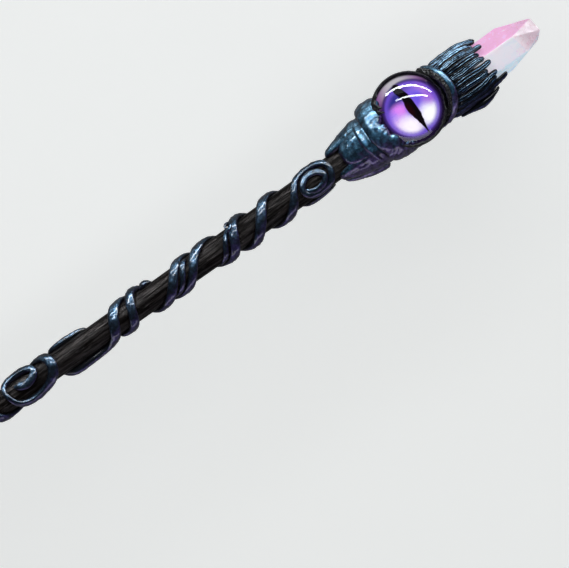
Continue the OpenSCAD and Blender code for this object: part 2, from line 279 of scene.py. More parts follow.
@cache
def mica_and_sheen_group() -> bpy.types.NodeTree:
    """Colour and cover of mica powder rubbed on black clay, with painted sheen in the colour: lighter ice
    on faces toward the lamps, violet on faces turned away.

    Returns:
        A group that puts out Color and Powder.
    """
    tones = [(name, "Color") for name in ("Ice", "Teal", "Violet", "Clay")]
    tree, kit, given = new_group(
        "mica_powder_and_painted_sheen", "Shader",
        [("Position", "Vector"), ("Normal", "Vector"), ("Crest", "Float"), ("Amount", "Float"), *tones],
        [("Color", "Color"), ("Powder", "Float")])
    # Painted sheen: the tone follows which way each face turns to the lamps, ice toward them, teal between
    # and violet away.
    painted_sheen_facing = kit.dot(given["Normal"], (0.05, 0.60, 0.80))
    patches = kit.noise(given["Position"], 4.5 * MM, 3.0, 0.6, 1.7)
    lean = kit.calc("MULTIPLY_ADD", kit.minus(patches, 0.5), 1.1, painted_sheen_facing)
    low = kit.mix(kit.span(lean, 0.30, 0.68), given["Violet"], given["Teal"])
    colour = kit.mix(kit.span(lean, 0.80, 1.08), low, given["Ice"])
    rubbed = kit.noise(given["Position"], 1.6 * MM, 4.0, 0.65, 5.2)
    # Powder cover follows the crest share, so grooves and creases stay bare black: partly real rubbing,
    # partly painted shade.
    cover = kit.times(kit.span(given["Crest"], 0.10, 0.85), given["Amount"])
    cover = kit.calc("MULTIPLY", cover, kit.span(rubbed, 0.30, 0.68, 0.12, 1.30), clamp=True)
    # Fine flecks of the ice tone: mica flakes, with their glint painted in.
    fleck = kit.noise(given["Position"], 0.16 * MM, 1.0, 0.5, 9.1)
    bright = kit.mix(kit.span(fleck, 0.60, 0.78, 0.0, 0.55), colour, given["Ice"])
    kit.add("NodeGroupOutput", {"Color": kit.mix(cover, given["Clay"], bright), "Powder": cover})
    return tree


@cache
def relief_group() -> bpy.types.NodeTree:
    """Height of finger marks, pits and fine drag lines on clay.

    Returns:
        A group that puts out Height.
    """
    tree, kit, given = new_group(
        "clay_relief", "Shader",
        [("Position", "Vector"), ("Strand", "Vector"), ("Marks", "Float", 1.0), ("Pits", "Float", 0.4),
         ("Drag", "Float", 0.4)],
        [("Height", "Float")])
    kinds = {
        "Marks": kit.noise(given["Position"], 1.4 * MM, 3.0, 0.55, 2.4),
        "Pits": kit.span(kit.noise(given["Position"], 0.30 * MM, 2.0, 0.6, 7.7), 0.30, 0.48),
        "Drag": kit.noise(kit.scaled(given["Strand"], (1.0, 0.0014, 0.0)), 0.45 * MM, 3.0, 0.6, 3.3)}
    height = 0.0
    for name, pattern in kinds.items():
        height = kit.calc("MULTIPLY_ADD", pattern, given[name], height)
    kit.add("NodeGroupOutput", {"Height": height})
    return tree


# ---- Finishes ----


class Slot(Enum):
    """The record's material slots."""

    WOOD = "stained_wood"
    VINE = "vine_clay"
    LEAF = "leaf_clay"
    LID = "lid_clay"
    DARK = "dark_clay"
    GLASS = "eye_glass"
    CRYSTAL = "crystal"
    COLLAR = "collar_clay"


def fresh_material(name: str) -> tuple[bpy.types.Material, NodeKit, bpy.types.Node, bpy.types.NodeOutputs]:
    """A material with its Principled shader.

    Args:
        name: the material's name.

    Returns:
        The material, a kit for its tree, the shader node and the texture coordinates.
    """
    material = bpy.data.materials.new(name)
    material.use_nodes = True
    kit = NodeKit(material.node_tree)
    return material, kit, kit.tree.nodes["Principled BSDF"], kit.add("ShaderNodeTexCoord").outputs


@dataclass(frozen=True)
class MicaClay:
    """Black polymer clay rubbed with mica powder and varnished; its colour carries painted sheen, ice
    toward the lamps and violet away, and bare black hollows that are partly painted shade.
    """

    name: str
    # Tones set by which way each face turns to the lamps: ice is painted sheen on faces toward them,
    # violet is painted on faces turned away.
    ice: Colour = (0.17, 0.34, 0.49)
    teal: Colour = (0.045, 0.130, 0.225)
    violet: Colour = (0.110, 0.074, 0.225)
    clay: Colour = (0.004, 0.005, 0.008)
    amount: float = 0.7
    metallic: float = 0.88
    roughness: float = 0.34
    coat_roughness: float = 0.06
    gloss: float = 0.2  # specular level of the bare clay
    coat: float = 1.0
    relief: float = 0.10  # height of the bump in millimetres
    drag: float = 0.4
    # Below where the powder starts, the clay stays bare black: partly real, partly painted shade in the
    # hollows.
    crest: tuple[float, float] = (0.0, 1.0)  # shares of the height where the powder starts and is full

    def material(self) -> bpy.types.Material:
        """Builds the material.

        Returns:
            The material.
        """
        material, kit, shader, where = fresh_material(self.name)
        strand = kit.add("ShaderNodeAttribute", attribute_name=STRAND).outputs["Vector"]
        mica = kit.add("ShaderNodeGroup", {
            "Position": where["Object"], "Normal": where["Normal"],
            "Crest": kit.span(kit.split(strand)[2], *self.crest), "Ice": self.ice, "Teal": self.teal,
            "Violet": self.violet, "Clay": self.clay, "Amount": self.amount,
        }, node_tree=mica_and_sheen_group()).outputs
        relief = kit.add("ShaderNodeGroup", {
            "Position": where["Object"], "Strand": strand, "Drag": self.drag,
        }, node_tree=relief_group()).outputs
        kit.bump(shader, relief["Height"], self.relief)
        smear = kit.noise(where["Object"], 0.9 * MM, 3.0, 0.6, 4.4)
        kit.feed_all(shader, {
            "Base Color": mica["Color"],
            "Metallic": kit.span(mica["Powder"], 0.0, 0.30, 0.0, self.metallic, False),
            "Roughness": kit.span(smear, 0.3, 0.7, self.roughness - 0.07, self.roughness + 0.12, False),
            "Specular IOR Level": self.gloss, "Coat Weight": self.coat,
            "Coat Roughness": self.coat_roughness, "Coat IOR": 1.45})
        return material


@dataclass(frozen=True)
class BareClay:
    """Black clay left rough, with pale specks on its high spots, part dirt and part painted glints."""

    name: str
    dark: Colour = (0.004, 0.004, 0.005)
    # Colour of the pale specks on the high spots: part dirt, part painted glint.
    dust_and_glint: Colour = (0.060, 0.050, 0.048)
    roughness: float = 0.5
    coat: float = 0.35
    relief: float = 0.22

    def material(self) -> bpy.types.Material:
        """Builds the material.

        Returns:
            The material.
        """
        material, kit, shader, where = fresh_material(self.name)
        grit = kit.noise(where["Object"], 0.55 * MM, 5.0, 0.7, 3.1)
        pores = kit.add("ShaderNodeTexVoronoi", {"Vector": where["Object"], "Scale": 1.0 / (0.8 * MM)},
                        feature="SMOOTH_F1").outputs["Distance"]
        # Pale specks on the high spots: part dirt, part painted glints.
        speck = kit.times(kit.span(grit, 0.56, 0.74), kit.span(pores, 0.25, 0.7, 1.0, 0.2))
        kit.bump(shader, kit.calc("MULTIPLY_ADD", pores, 0.6, grit), self.relief)
        kit.feed_all(shader, {
            "Base Color": kit.mix(speck, self.dark, self.dust_and_glint),
            "Roughness": kit.span(grit, 0.3, 0.7, self.roughness - 0.15, self.roughness + 0.15, False),
            "Specular IOR Level": 0.3, "Coat Weight": self.coat, "Coat Roughness": 0.12})
        return material


@dataclass(frozen=True)
class StainedWood:
    """Hardwood stained almost black, with its open grain running along X."""

    name: str
    dark: Colour = (0.0020, 0.0012, 0.0010)
    streak: Colour = (0.014, 0.0095, 0.0078)
    pore: Colour = (0.0015, 0.0010, 0.0010)
    sheen: Colour = (1.0, 0.92, 0.90)

    def material(self) -> bpy.types.Material:
        """Builds the material.

        Returns:
            The material.
        """
        material, kit, shader, where = fresh_material(self.name)
        wander = kit.noise(kit.scaled(where["Object"], (0.25, 1.0, 1.0)), 12 * MM, 2.0, 0.5, 1.1)
        shift = kit.vector("ADD", where["Object"], kit.xyz(0.0, kit.times(wander, 1.5 * MM), 0.0))
        bands = kit.noise(kit.scaled(shift, (0.07, 1.0, 1.0)), 1.0 * MM, 4.0, 0.65, 2.2)
        fibres = kit.noise(kit.scaled(shift, (0.03, 1.0, 1.0)), 0.36 * MM, 3.0, 0.7, 3.3)
        pores = kit.span(kit.noise(kit.scaled(shift, (0.06, 1.0, 1.0)), 0.34 * MM, 1.0, 0.5, 6.1),
                         0.56, 0.66)
        worn = kit.times(kit.span(bands, 0.42, 0.66), kit.span(fibres, 0.34, 0.62, 0.15, 1.0))
        colour = kit.mix(worn, self.dark, self.streak)
        kit.bump(shader, kit.minus(kit.calc("MULTIPLY_ADD", bands, 0.8, fibres), pores), 0.16)
        kit.feed_all(shader, {
            "Base Color": kit.mix(pores, colour, self.pore),
            "Roughness": kit.span(fibres, 0.3, 0.7, 0.32, 0.50, False),
            "Specular IOR Level": kit.span(bands, 0.40, 0.66, 0.04, 0.45), "Specular Tint": self.sheen})
        return material


@dataclass(frozen=True)
class ClearGlass:
    """Polished glass that lets the lamps through to what lies under it."""

    name: str
    tone: Colour = (1.0, 0.995, 1.0)
    ior: float = 1.5

    def material(self) -> bpy.types.Material:
        """Builds the material.

        Returns:
            The material.
        """
        material, kit, shader, _ = fresh_material(self.name)
        kit.feed_all(shader, {"Base Color": self.tone, "Roughness": 0.0, "IOR": self.ior,
                              "Transmission Weight": 1.0})
        path = kit.add("ShaderNodeLightPath").outputs
        through = kit.calc("MAXIMUM", path["Is Shadow Ray"], path["Is Diffuse Ray"])
        clear = kit.add("ShaderNodeBsdfTransparent").outputs[0]
        joined = kit.add("ShaderNodeMixShader", {0: through, 1: shader.outputs[0], 2: clear})
        kit.feed(kit.tree.nodes["Material Output"].inputs["Surface"], joined.outputs[0])
        return material


@dataclass(frozen=True)
class IrisPrint:
    """A violet iris with a slit pupil, laid out in millimetres about its own centre, with painted light on
    it: white blobs for light focused through the dome, a painted reflection at the top, and a glow.
    """

    name: str
    centre: tuple[float, float]  # in millimetres
    magnify: float = 1.13  # the dome makes the print look this much larger
    # Emission strength: a painted glow, so the print looks lit through the dome though it is no lamp.
    glow: float = 0.55

    def blob(self, kit: NodeKit, place: Socket, at: tuple[float, float], size: tuple[float, float],
             soft: float) -> Socket:
        """A soft oval mask.

        Args:
            kit: the tree's kit.
            place: millimetres from the iris's centre.
            at: the oval's centre.
            size: its half sizes.
            soft: how wide its edge is, as a share of its size.

        Returns:
            A mask that is 1 inside.
        """
        u, v = (kit.calc("DIVIDE", kit.minus(value, middle), half)
                for value, middle, half in zip(kit.split(place), at, size))
        reach = kit.calc("SQRT", kit.plus(kit.times(u, u), kit.times(v, v)))
        return kit.span(reach, 1.0 - soft, 1.0 + soft, 1.0, 0.0)

    def pupil(self, kit: NodeKit, place: Socket) -> Socket:
        """The slit's mask: a leaf with a narrow neck above it and a thin foot.

        Args:
            kit: the tree's kit.
            place: millimetres from the iris's centre.

        Returns:
            A mask that is 1 inside.
        """
        x, y, _ = kit.split(place)
        leaf = kit.span(kit.size(y), 0.0, 4.6, 2.30, 1.05)
        neck = kit.span(y, 1.0, 3.5, 0.0, 1.45)
        foot = kit.span(y, -9.4, -4.0, 0.30, 0.95)
        half = kit.calc("MAXIMUM", kit.calc("MINIMUM", leaf, kit.span(y, -5.4, -3.6, foot, 9.0)), neck)
        half = kit.calc("MINIMUM", half, kit.span(y, 9.4, 10.8, 1.5, 0.0))
        bulge = kit.times(self.blob(kit, place, (-2.0, 0.6), (1.8, 2.0), 0.7), -0.45)
        middle = kit.plus(kit.span(y, 4.0, 8.5, 0.10, -0.8), bulge)
        inside = kit.minus(half, kit.size(kit.minus(x, middle)))
        return kit.times(kit.span(inside, -0.10, 0.22), kit.span(y, -10.6, -9.8))

    def material(self) -> bpy.types.Material:
        """Builds the material.

        Returns:
            The material.
        """
        material, kit, shader, where = fresh_material(self.name)
        place = kit.vector("SUBTRACT", where["Object"], (self.centre[0] * MM, self.centre[1] * MM, 0.0))
        place = kit.scaled(place, (self.magnify / MM, self.magnify / MM, 0.0))
        x, y, _ = kit.split(place)
        reach = kit.add("ShaderNodeVectorMath", {0: place}, operation="LENGTH").outputs["Value"]
        fibre_at = kit.xyz(kit.times(kit.calc("ARCTAN2", y, x), 3.2), kit.times(reach, 0.22), 0.0)
        fibre = kit.noise(fibre_at, 0.22, 3.0, 0.6, 2.0)
        colour = kit.mix(kit.span(reach, 3.0, 9.5), (0.30, 0.19, 0.88), (0.070, 0.040, 0.40))
        tones = [  # centre, half sizes, softness, colour and weight
            ((-4.4, 6.0), (4.8, 3.2), 0.5, (0.030, 0.030, 0.230), 0.95),
            ((-4.3, 1.8), (2.7, 2.1), 0.7, (0.800, 0.260, 0.950), 1.0),
            ((-7.6, 0.2), (2.6, 3.0), 0.7, (0.360, 0.200, 0.940), 0.9),
            ((6.6, 5.4), (3.6, 3.4), 0.7, (0.620, 0.250, 0.680), 0.9),
            ((2.6, 7.6), (3.0, 2.2), 0.7, (0.120, 0.060, 0.400), 0.9),
            ((3.4, 2.6), (2.6, 3.4), 0.8, (0.170, 0.100, 0.780), 1.0),
            ((-6.0, -2.6), (3.4, 3.0), 0.7, (0.820, 0.560, 1.000), 0.9),
            ((6.0, -2.4), (3.0, 2.8), 0.7, (0.560, 0.420, 0.980), 0.8),
            # The two white blobs are painted light: lamp light focused by the dome onto the print's lower
            # half.
            ((-3.9, -4.8), (3.9, 3.5), 0.6, (1.060, 0.980, 1.060), 1.0),
            ((4.1, -4.8), (3.9, 3.5), 0.6, (1.060, 1.060, 1.060), 1.0),
            ((7.2, 0.2), (2.8, 2.2), 0.7, (0.400, 0.150, 0.720), 0.8),
        ]
        for at, size, soft, tone, weight in tones:
            colour = kit.mix(kit.times(self.blob(kit, place, at, size, soft), weight), colour, tone)
        colour = kit.mix(kit.span(reach, 7.0, 9.0, 0.0, 0.85), colour, (0.16, 0.08, 0.60))
        colour = kit.mix(kit.span(fibre, 0.45, 0.75, 0.0, 0.30), colour, (0.08, 0.04, 0.36))
        # Painted reflection: the pale crescent at the rim's top stands in for the room mirrored in the
        # dome.
        crescent = kit.mix(kit.span(kit.size(x), 1.5, 9.0), (0.50, 0.48, 0.52), (0.26, 0.11, 0.32))
        rim = kit.mix(kit.span(y, 4.0, 9.5), (0.010, 0.005, 0.022), crescent)
        edge = kit.calc("MULTIPLY_ADD", x, 0.10, reach)
        rim = kit.mix(kit.span(edge, 12.0, 13.0), rim, (0.006, 0.005, 0.008))
        line = kit.times(kit.span(reach, 9.0, 10.0), kit.span(reach, 10.1, 11.0, 1.0, 0.0), 0.8)
        colour = kit.mix(kit.span(reach, 9.4, 10.6), colour, rim)
        colour = kit.mix(line, colour, (0.030, 0.012, 0.110))
        colour = kit.mix(self.pupil(kit, place), colour, (0.003, 0.001, 0.002))
        glint = self.blob(kit, place, (-1.0, 0.2), (0.9, 2.2), 0.8)
        colour = kit.mix(kit.times(glint, 0.6), colour, (0.022, 0.001, 0.003))
        # The print glows with its own colour: painted light.
        kit.feed_all(shader, {"Base Color": colour, "Emission Color": colour, "Roughness": 0.7,
                              "Emission Strength": self.glow, "Specular IOR Level": 0.0})
        return material


@dataclass(frozen=True)
class Quartz:
    """Frosty, part-clear quartz: pink on the upper sides, milky in front, aqua below, with painted shade
    on its level faces and tip and a painted glow.
    """

    name: str
    pink: Colour = (0.74, 0.39, 0.62)
    milk: Colour = (0.84, 0.77, 0.80)
    aqua: Colour = (0.58, 0.74, 0.82)
    veil: Colour = (0.66, 0.30, 0.38)
    frost: Colour = (0.95, 0.93, 0.96)
    # shade is the painted shade tone for the level faces and the tip; glow is the emission strength of a
    # painted glow.
    shade: Colour = (0.45, 0.34, 0.40)
    glow: float = 0.50
    tip_x: tuple[float, float, float] = (318.0, 325.0, 328.0)  # where the tip's shade and veils grow

    def material(self) -> bpy.types.Material:
        """Builds the material.

        Returns:
            The material.
        """
        material, kit, shader, where = fresh_material(self.name)
        place, normal = where["Object"], where["Normal"]
        start, shaded, veiled = (x * MM for x in self.tip_x)
        cloud = kit.noise(place, 5.0 * MM, 4.0, 0.6, 2.6)
        side = kit.calc("MULTIPLY_ADD", kit.minus(cloud, 0.5), 0.5, kit.dot(normal, (0.0, 1.0, 0.0)))
        colour = kit.mix(kit.span(side, -0.62, -0.12), self.aqua, self.milk)
        colour = kit.mix(kit.span(side, 0.05, 0.50), colour, self.pink)
        streaks = kit.noise(kit.scaled(place, (0.25, 1.0, 1.0)), 1.3 * MM, 4.0, 0.7, 4.1)
        colour = kit.mix(kit.span(streaks, 0.55, 0.75, 0.0, 0.5), colour, self.frost)
        x, _, _ = kit.split(place)
        veils = kit.noise(kit.scaled(place, (1.0, 1.0, 0.3)), 4.2 * MM, 3.0, 0.55, 8.3, 0.8)
        thin = kit.span(kit.size(kit.minus(veils, 0.5)), 0.0, 0.022, 1.0, 0.0)
        near_tip = kit.span(x, start, veiled, 0.18, 0.75)
        colour = kit.mix(kit.times(thin, near_tip), colour, self.veil)
        # Painted shade: level faces, and the tip more, are mixed towards the shade tone, less on the +Y
        # side.
        level = kit.span(kit.dot(normal, (0.35, 0.0, 0.95)), 0.91, 0.985)
        dim = kit.calc("MULTIPLY_ADD", level, 0.18,
                       kit.times(near_tip, kit.span(side, 0.0, 0.6, 0.75, 0.45)))
        colour = kit.mix(kit.times(dim, kit.span(x, start, shaded)), colour, self.shade)
        lines = kit.noise(kit.scaled(place, (6.0, 1.0, 1.0)), 1.1 * MM, 3.0, 0.6, 6.6)
        kit.bump(shader, lines, 0.10, 0.6)
        # The quartz glows with its own colour: painted light.
        kit.feed_all(shader, {
            "Base Color": colour, "Emission Color": colour, "Emission Strength": self.glow,
            "Roughness": kit.span(cloud, 0.3, 0.7, 0.16, 0.34, False), "IOR": 1.54,
            "Transmission Weight": 0.12, "Subsurface Weight": 0.8,
            "Subsurface Radius": (1.0, 0.8, 0.9), "Subsurface Scale": 2.0 * MM})
        return material


@dataclass(frozen=True)
class PlainFinish:
    """A hidden or background surface: one tone with a fine grain."""

    name: str
    tone: Colour
    roughness: float = 0.6
    grain: float = 0.5  # millimetres
    glow: float = 0.0
    mirrored: Colour = (0.02, 0.02, 0.03)  # what a glowing surface turns towards in reflections

    def material(self) -> bpy.types.Material:
        """Builds the material.

        Returns:
            The material.
        """
        material, kit, shader, where = fresh_material(self.name)
        fine = kit.noise(where["Object"], self.grain * MM, 3.0, 0.6, 1.0)
        darker = tuple(0.93 * c for c in self.tone)
        kit.feed_all(shader, {
            "Base Color": kit.mix(fine, darker, self.tone), "Emission Color": self.tone,
            "Roughness": kit.span(fine, 0.2, 0.8, self.roughness - 0.08, self.roughness + 0.08, False),
            "Emission Strength": self.glow})
        if self.glow:
            glossy = kit.add("ShaderNodeLightPath").outputs["Is Glossy Ray"]
            kit.feed_all(shader, {
                "Emission Strength": kit.span(glossy, 0.0, 1.0, self.glow, 0.0),
                "Base Color": kit.mix(kit.times(glossy, 0.7), self.tone, self.mirrored)})
        return material


# ---- Meshes ----


def finished(name: str, mesh: bpy.types.Mesh, material: bpy.types.Material | None,
             node: str) -> bpy.types.Object:
    """Puts a mesh in the scene as a piece of the wand.

    Args:
        name: the piece's name.
        mesh: its mesh, in metres, in place.
        material: its finish, or None where the mesh has it already.
        node: the CAD node that it stands for.

    Returns:
        The piece.
    """
    if material is not None:
        mesh.materials.clear()
        mesh.materials.append(material)
    mesh.name = name
    piece = bpy.data.objects.new(name, mesh)
    bpy.context.scene.collection.objects.link(piece)
    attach(piece, BODY)
    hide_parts(node)
    LOG.info("%s: %d faces", name, len(mesh.polygons))
    return piece


def smooth_mesh(builder: bmesh.types.BMesh) -> bpy.types.Mesh:
    """The builder's faces as a smooth mesh, turned outward.

    Args:
        builder: the faces; it is freed.

    Returns:
        The mesh.
    """
    bmesh.ops.recalc_face_normals(builder, faces=builder.faces)
    mesh = bpy.data.meshes.new("piece")
    builder.to_mesh(mesh)
    builder.free()
    mesh.shade_smooth()
    return mesh


def ring_mesh(points: np.ndarray, looped: bool = False) -> bpy.types.Mesh:
    """A closed mesh from rings of points.

    Args:
        points: rings by sides by 3, in millimetres.
        looped: whether the last ring joins the first; otherwise the end rings are capped.

    Returns:
        The mesh.
    """
    builder = bmesh.new()
    rows = [[builder.verts.new(p * MM) for p in ring] for ring in points]
    for a, b in zip(rows, rows[1:] + (rows[:1] if looped else [])):
        for j in range(len(a)):
            k = (j + 1) % len(a)
            builder.faces.new((a[j], a[k], b[k], b[j]))
    if not looped:
        builder.faces.new(rows[0][::-1])
        builder.faces.new(rows[-1])
    return smooth_mesh(builder)


def around(sides: int) -> np.ndarray:
    """Even angles once round, in radians."""
    return np.linspace(0.0, TURN, sides, endpoint=False)


def about_shaft(x: np.ndarray, r: np.ndarray, a: np.ndarray) -> np.ndarray:
    """Points from x and from a radius and an angle about the shaft."""
    return np.stack([x, r * np.cos(a), r * np.sin(a)], axis=-1)


def lumps(points: np.ndarray, size: float, seed: float) -> np.ndarray:
    """Noise from -1 to 1 at each point.

    Args:
        points: any shape by 3, in millimetres.
        size: about how far apart the lumps are, in millimetres.
        seed: moves the pattern.

    Returns:
        The noise, in the points' shape.
    """
    flat = points.reshape(-1, 3) / size + seed
    return np.array([noise.noise(Vector(p)) for p in flat]).reshape(points.shape[:-1])


def smoothstep(value: np.ndarray, low: float, high: float) -> np.ndarray:
    """0 below low, 1 above high and smooth between."""
    share = np.clip((value - low) / (high - low), 0.0, 1.0)
    return share * share * (3.0 - 2.0 * share)


# ---- Clay strands, made by one geometry node tree ----

# Each input's name, the field of Strand that it comes from, and its unit.
STRAND_INPUTS: dict[str, tuple[str, float]] = {
    "Rod Radius": ("rod", MM), "Shoulder": ("shoulder", 1.0), "Sink": ("sink", MM),
    "Squareness": ("squareness", 1.0), "Groove Count": ("grooves", 1.0),
    "Groove Depth": ("groove_depth", 1.0), "Wrinkle Count": ("wrinkles", 1.0),
    "Wrinkle Slant": ("wrinkle_slant", 1.0), "Wrinkle Depth": ("wrinkle_depth", MM),
    "Lump Size": ("lump_size", MM), "Lump Depth": ("lump_depth", MM),
    "Ragged Size": ("ragged_size", MM), "Ragged Depth": ("ragged_depth", MM), "Seed": ("seed", 1.0)}


@cache
def strand_tree() -> bpy.types.NodeTree:
    """Rolls a clay strand out along knots given as (along, arc, radius) and wraps it on its rod.

    Returns:
        The geometry node tree.
    """
    tree, kit, given = new_group(
        "clay_strand", "Geometry",
        [("Geometry", "Geometry"), ("Rings", "Int"), ("Sides", "Int"),
         *((name, "Float") for name in STRAND_INPUTS), ("Material", "Material")],
        [("Geometry", "Geometry")])
    last = kit.minus(given["Rings"], 1.0)

    line = kit.add("GeometryNodeMeshToCurve", {"Mesh": given["Geometry"]}).outputs[0]
    line = kit.add("GeometryNodeCurveSplineType", {"Curve": line}, spline_type="CATMULL_ROM").outputs[0]
    line = kit.add("GeometryNodeResampleCurve", {"Curve": line, "Count": given["Rings"]}).outputs[0]
    tube = kit.add("GeometryNodeMeshCylinder",
                   {"Vertices": given["Sides"], "Side Segments": last, "Radius": 1.0, "Depth": 1.0},
                   fill_type="NGON").outputs["Mesh"]

    across, up, along = kit.split(kit.add("GeometryNodeInputPosition").outputs[0])
    share = kit.plus(along, 0.5)
    ring = kit.calc("ROUND", kit.times(share, last))

    def enabled(sockets: Iterable[Socket], name: str) -> Socket:
        """The socket of this name that the node's settings leave in use."""
        return next(s for s in sockets if s.enabled and s.name == name)

    def sampled(value: Socket, kind: str) -> Socket:
        """A value of the line, read at this point's ring.

        Args:
            value: what is read.
            kind: its data type.

        Returns:
            The value.
        """
        node = kit.add("GeometryNodeSampleIndex", {"Geometry": line, "Index": ring}, data_type=kind,
                       domain="POINT")
        kit.feed(enabled(node.inputs, "Value"), value)
        return enabled(node.outputs, "Value")

    def knot_value(name: str) -> Socket:
        """A named number of the knots, read at this point's ring."""
        attribute = kit.add("GeometryNodeInputNamedAttribute", {"Name": name}, data_type="FLOAT")
        return sampled(enabled(attribute.outputs, "Attribute"), "FLOAT")

    def surface_noise(vector: Socket, size: str, **inputs: float) -> Socket:
        """Noise from 0 to 1 whose lumps are as large as the input called size says.

        Args:
            vector: where it is read.
            size: the input's name.
            inputs: the noise's own values.

        Returns:
            The noise.
        """
        node = kit.add("ShaderNodeTexNoise", {"Vector": vector, "W": given["Seed"], **inputs,
                                              "Scale": kit.calc("DIVIDE", 1.0, given[size])},
                       noise_dimensions="4D")
        return node.outputs[0]

    centre = sampled(kit.add("GeometryNodeInputPosition").outputs[0], "FLOAT_VECTOR")
    heading = sampled(kit.add("GeometryNodeInputTangent").outputs[0], "FLOAT_VECTOR")
    heading = kit.vector("NORMALIZE", kit.scaled(heading, (1.0, 1.0, 0.0)))
    half_width, height = knot_value("half_width"), knot_value("height")

    # Section: a flattened round whose underside is pressed on the rod.
    lateral = kit.times(kit.calc("SIGN", across),
                        kit.calc("POWER", kit.size(across), given["Squareness"]))
    rise = kit.calc("POWER", kit.size(up), given["Squareness"])
    above = kit.calc("GREATER_THAN", up, 0.0)
    shoulder = kit.times(height, given["Shoulder"])
    top = kit.calc("MULTIPLY_ADD", rise, kit.minus(height, shoulder), shoulder)
    under = kit.minus(shoulder, kit.times(rise, kit.plus(shoulder, given["Sink"])))
    turns = kit.times(lateral, given["Groove Count"], TURN)
    groove = kit.calc("MULTIPLY_ADD", kit.calc("COSINE", turns), 0.5, 0.5)
    groove = kit.times(groove, given["Groove Depth"], rise)
    top = kit.times(top, kit.minus(1.0, groove))
    lift = kit.plus(kit.times(above, top), kit.times(kit.minus(1.0, above), under))

    # Ragged edge on the positive side, wandering along the strand.
    torn = surface_noise(kit.scaled(centre, (1.0, 1.0, 0.0)), "Ragged Size", Detail=3.0, Roughness=0.65)
    tear = kit.times(kit.minus(torn, 0.5), given["Ragged Depth"], kit.span(lateral, 0.0, 0.9))
    offset = kit.calc("MULTIPLY_ADD", lateral, half_width, tear)

    hx, hy, _ = kit.split(heading)
    cx, cy, cz = kit.split(centre)
    x = kit.calc("MULTIPLY_ADD", offset, hy, cx)
    arc = kit.minus(cy, kit.times(offset, hx))
    angle = kit.calc("DIVIDE", arc, given["Rod Radius"])

    def wrapped(radius: Socket) -> Socket:
        """The point at this x and angle, at a radius."""
        return kit.xyz(x, kit.times(radius, kit.calc("COSINE", angle)),
                       kit.times(radius, kit.calc("SINE", angle)))

    radius = kit.plus(cz, lift)
    lump = surface_noise(wrapped(radius), "Lump Size", Detail=2.0)
    swell = kit.times(kit.minus(lump, 0.5), given["Lump Depth"])
    phase = kit.times(share, given["Wrinkle Count"], TURN)
    phase = kit.calc("MULTIPLY_ADD", lateral, given["Wrinkle Slant"], phase)
    phase = kit.calc("MULTIPLY_ADD", lump, 5.0, phase)
    crease = kit.calc("POWER", kit.calc("MULTIPLY_ADD", kit.calc("SINE", phase), 0.5, 0.5), 3.0)
    crease = kit.times(crease, given["Wrinkle Depth"])
    change = kit.times(kit.minus(swell, crease), kit.times(above, rise))

    run = kit.times(share, kit.add("GeometryNodeCurveLength", {"Curve": line}).outputs[0])
    # Crest share, lowered in the wrinkles: the powder cover follows it, so hollows and creases stay bare
    # black, partly real rubbing and partly painted shade.
    crest = kit.calc("DIVIDE", lift, kit.calc("MAXIMUM", height, 0.05 * MM))
    crest = kit.minus(crest, kit.times(kit.calc("DIVIDE", crease, 1.0 * MM), 2.0))
    stored = kit.add("GeometryNodeStoreNamedAttribute",
                     {"Geometry": tube, "Name": STRAND}, data_type="FLOAT_VECTOR", domain="POINT")
    kit.feed(enabled(stored.inputs, "Value"), kit.xyz(run, lateral, crest))
    placed = kit.add("GeometryNodeSetPosition", {"Geometry": stored.outputs[0],
                                                 "Position": wrapped(kit.plus(radius, change))}).outputs[0]
    smooth = kit.add("GeometryNodeSetShadeSmooth", {"Geometry": placed}).outputs[0]
    real = kit.add("GeometryNodeRealizeInstances", {"Geometry": smooth}).outputs[0]
    dressed = kit.add("GeometryNodeSetMaterial", {"Geometry": real, "Material": given["Material"]})
    kit.add("NodeGroupOutput", {"Geometry": dressed.outputs[0]})
    return tree


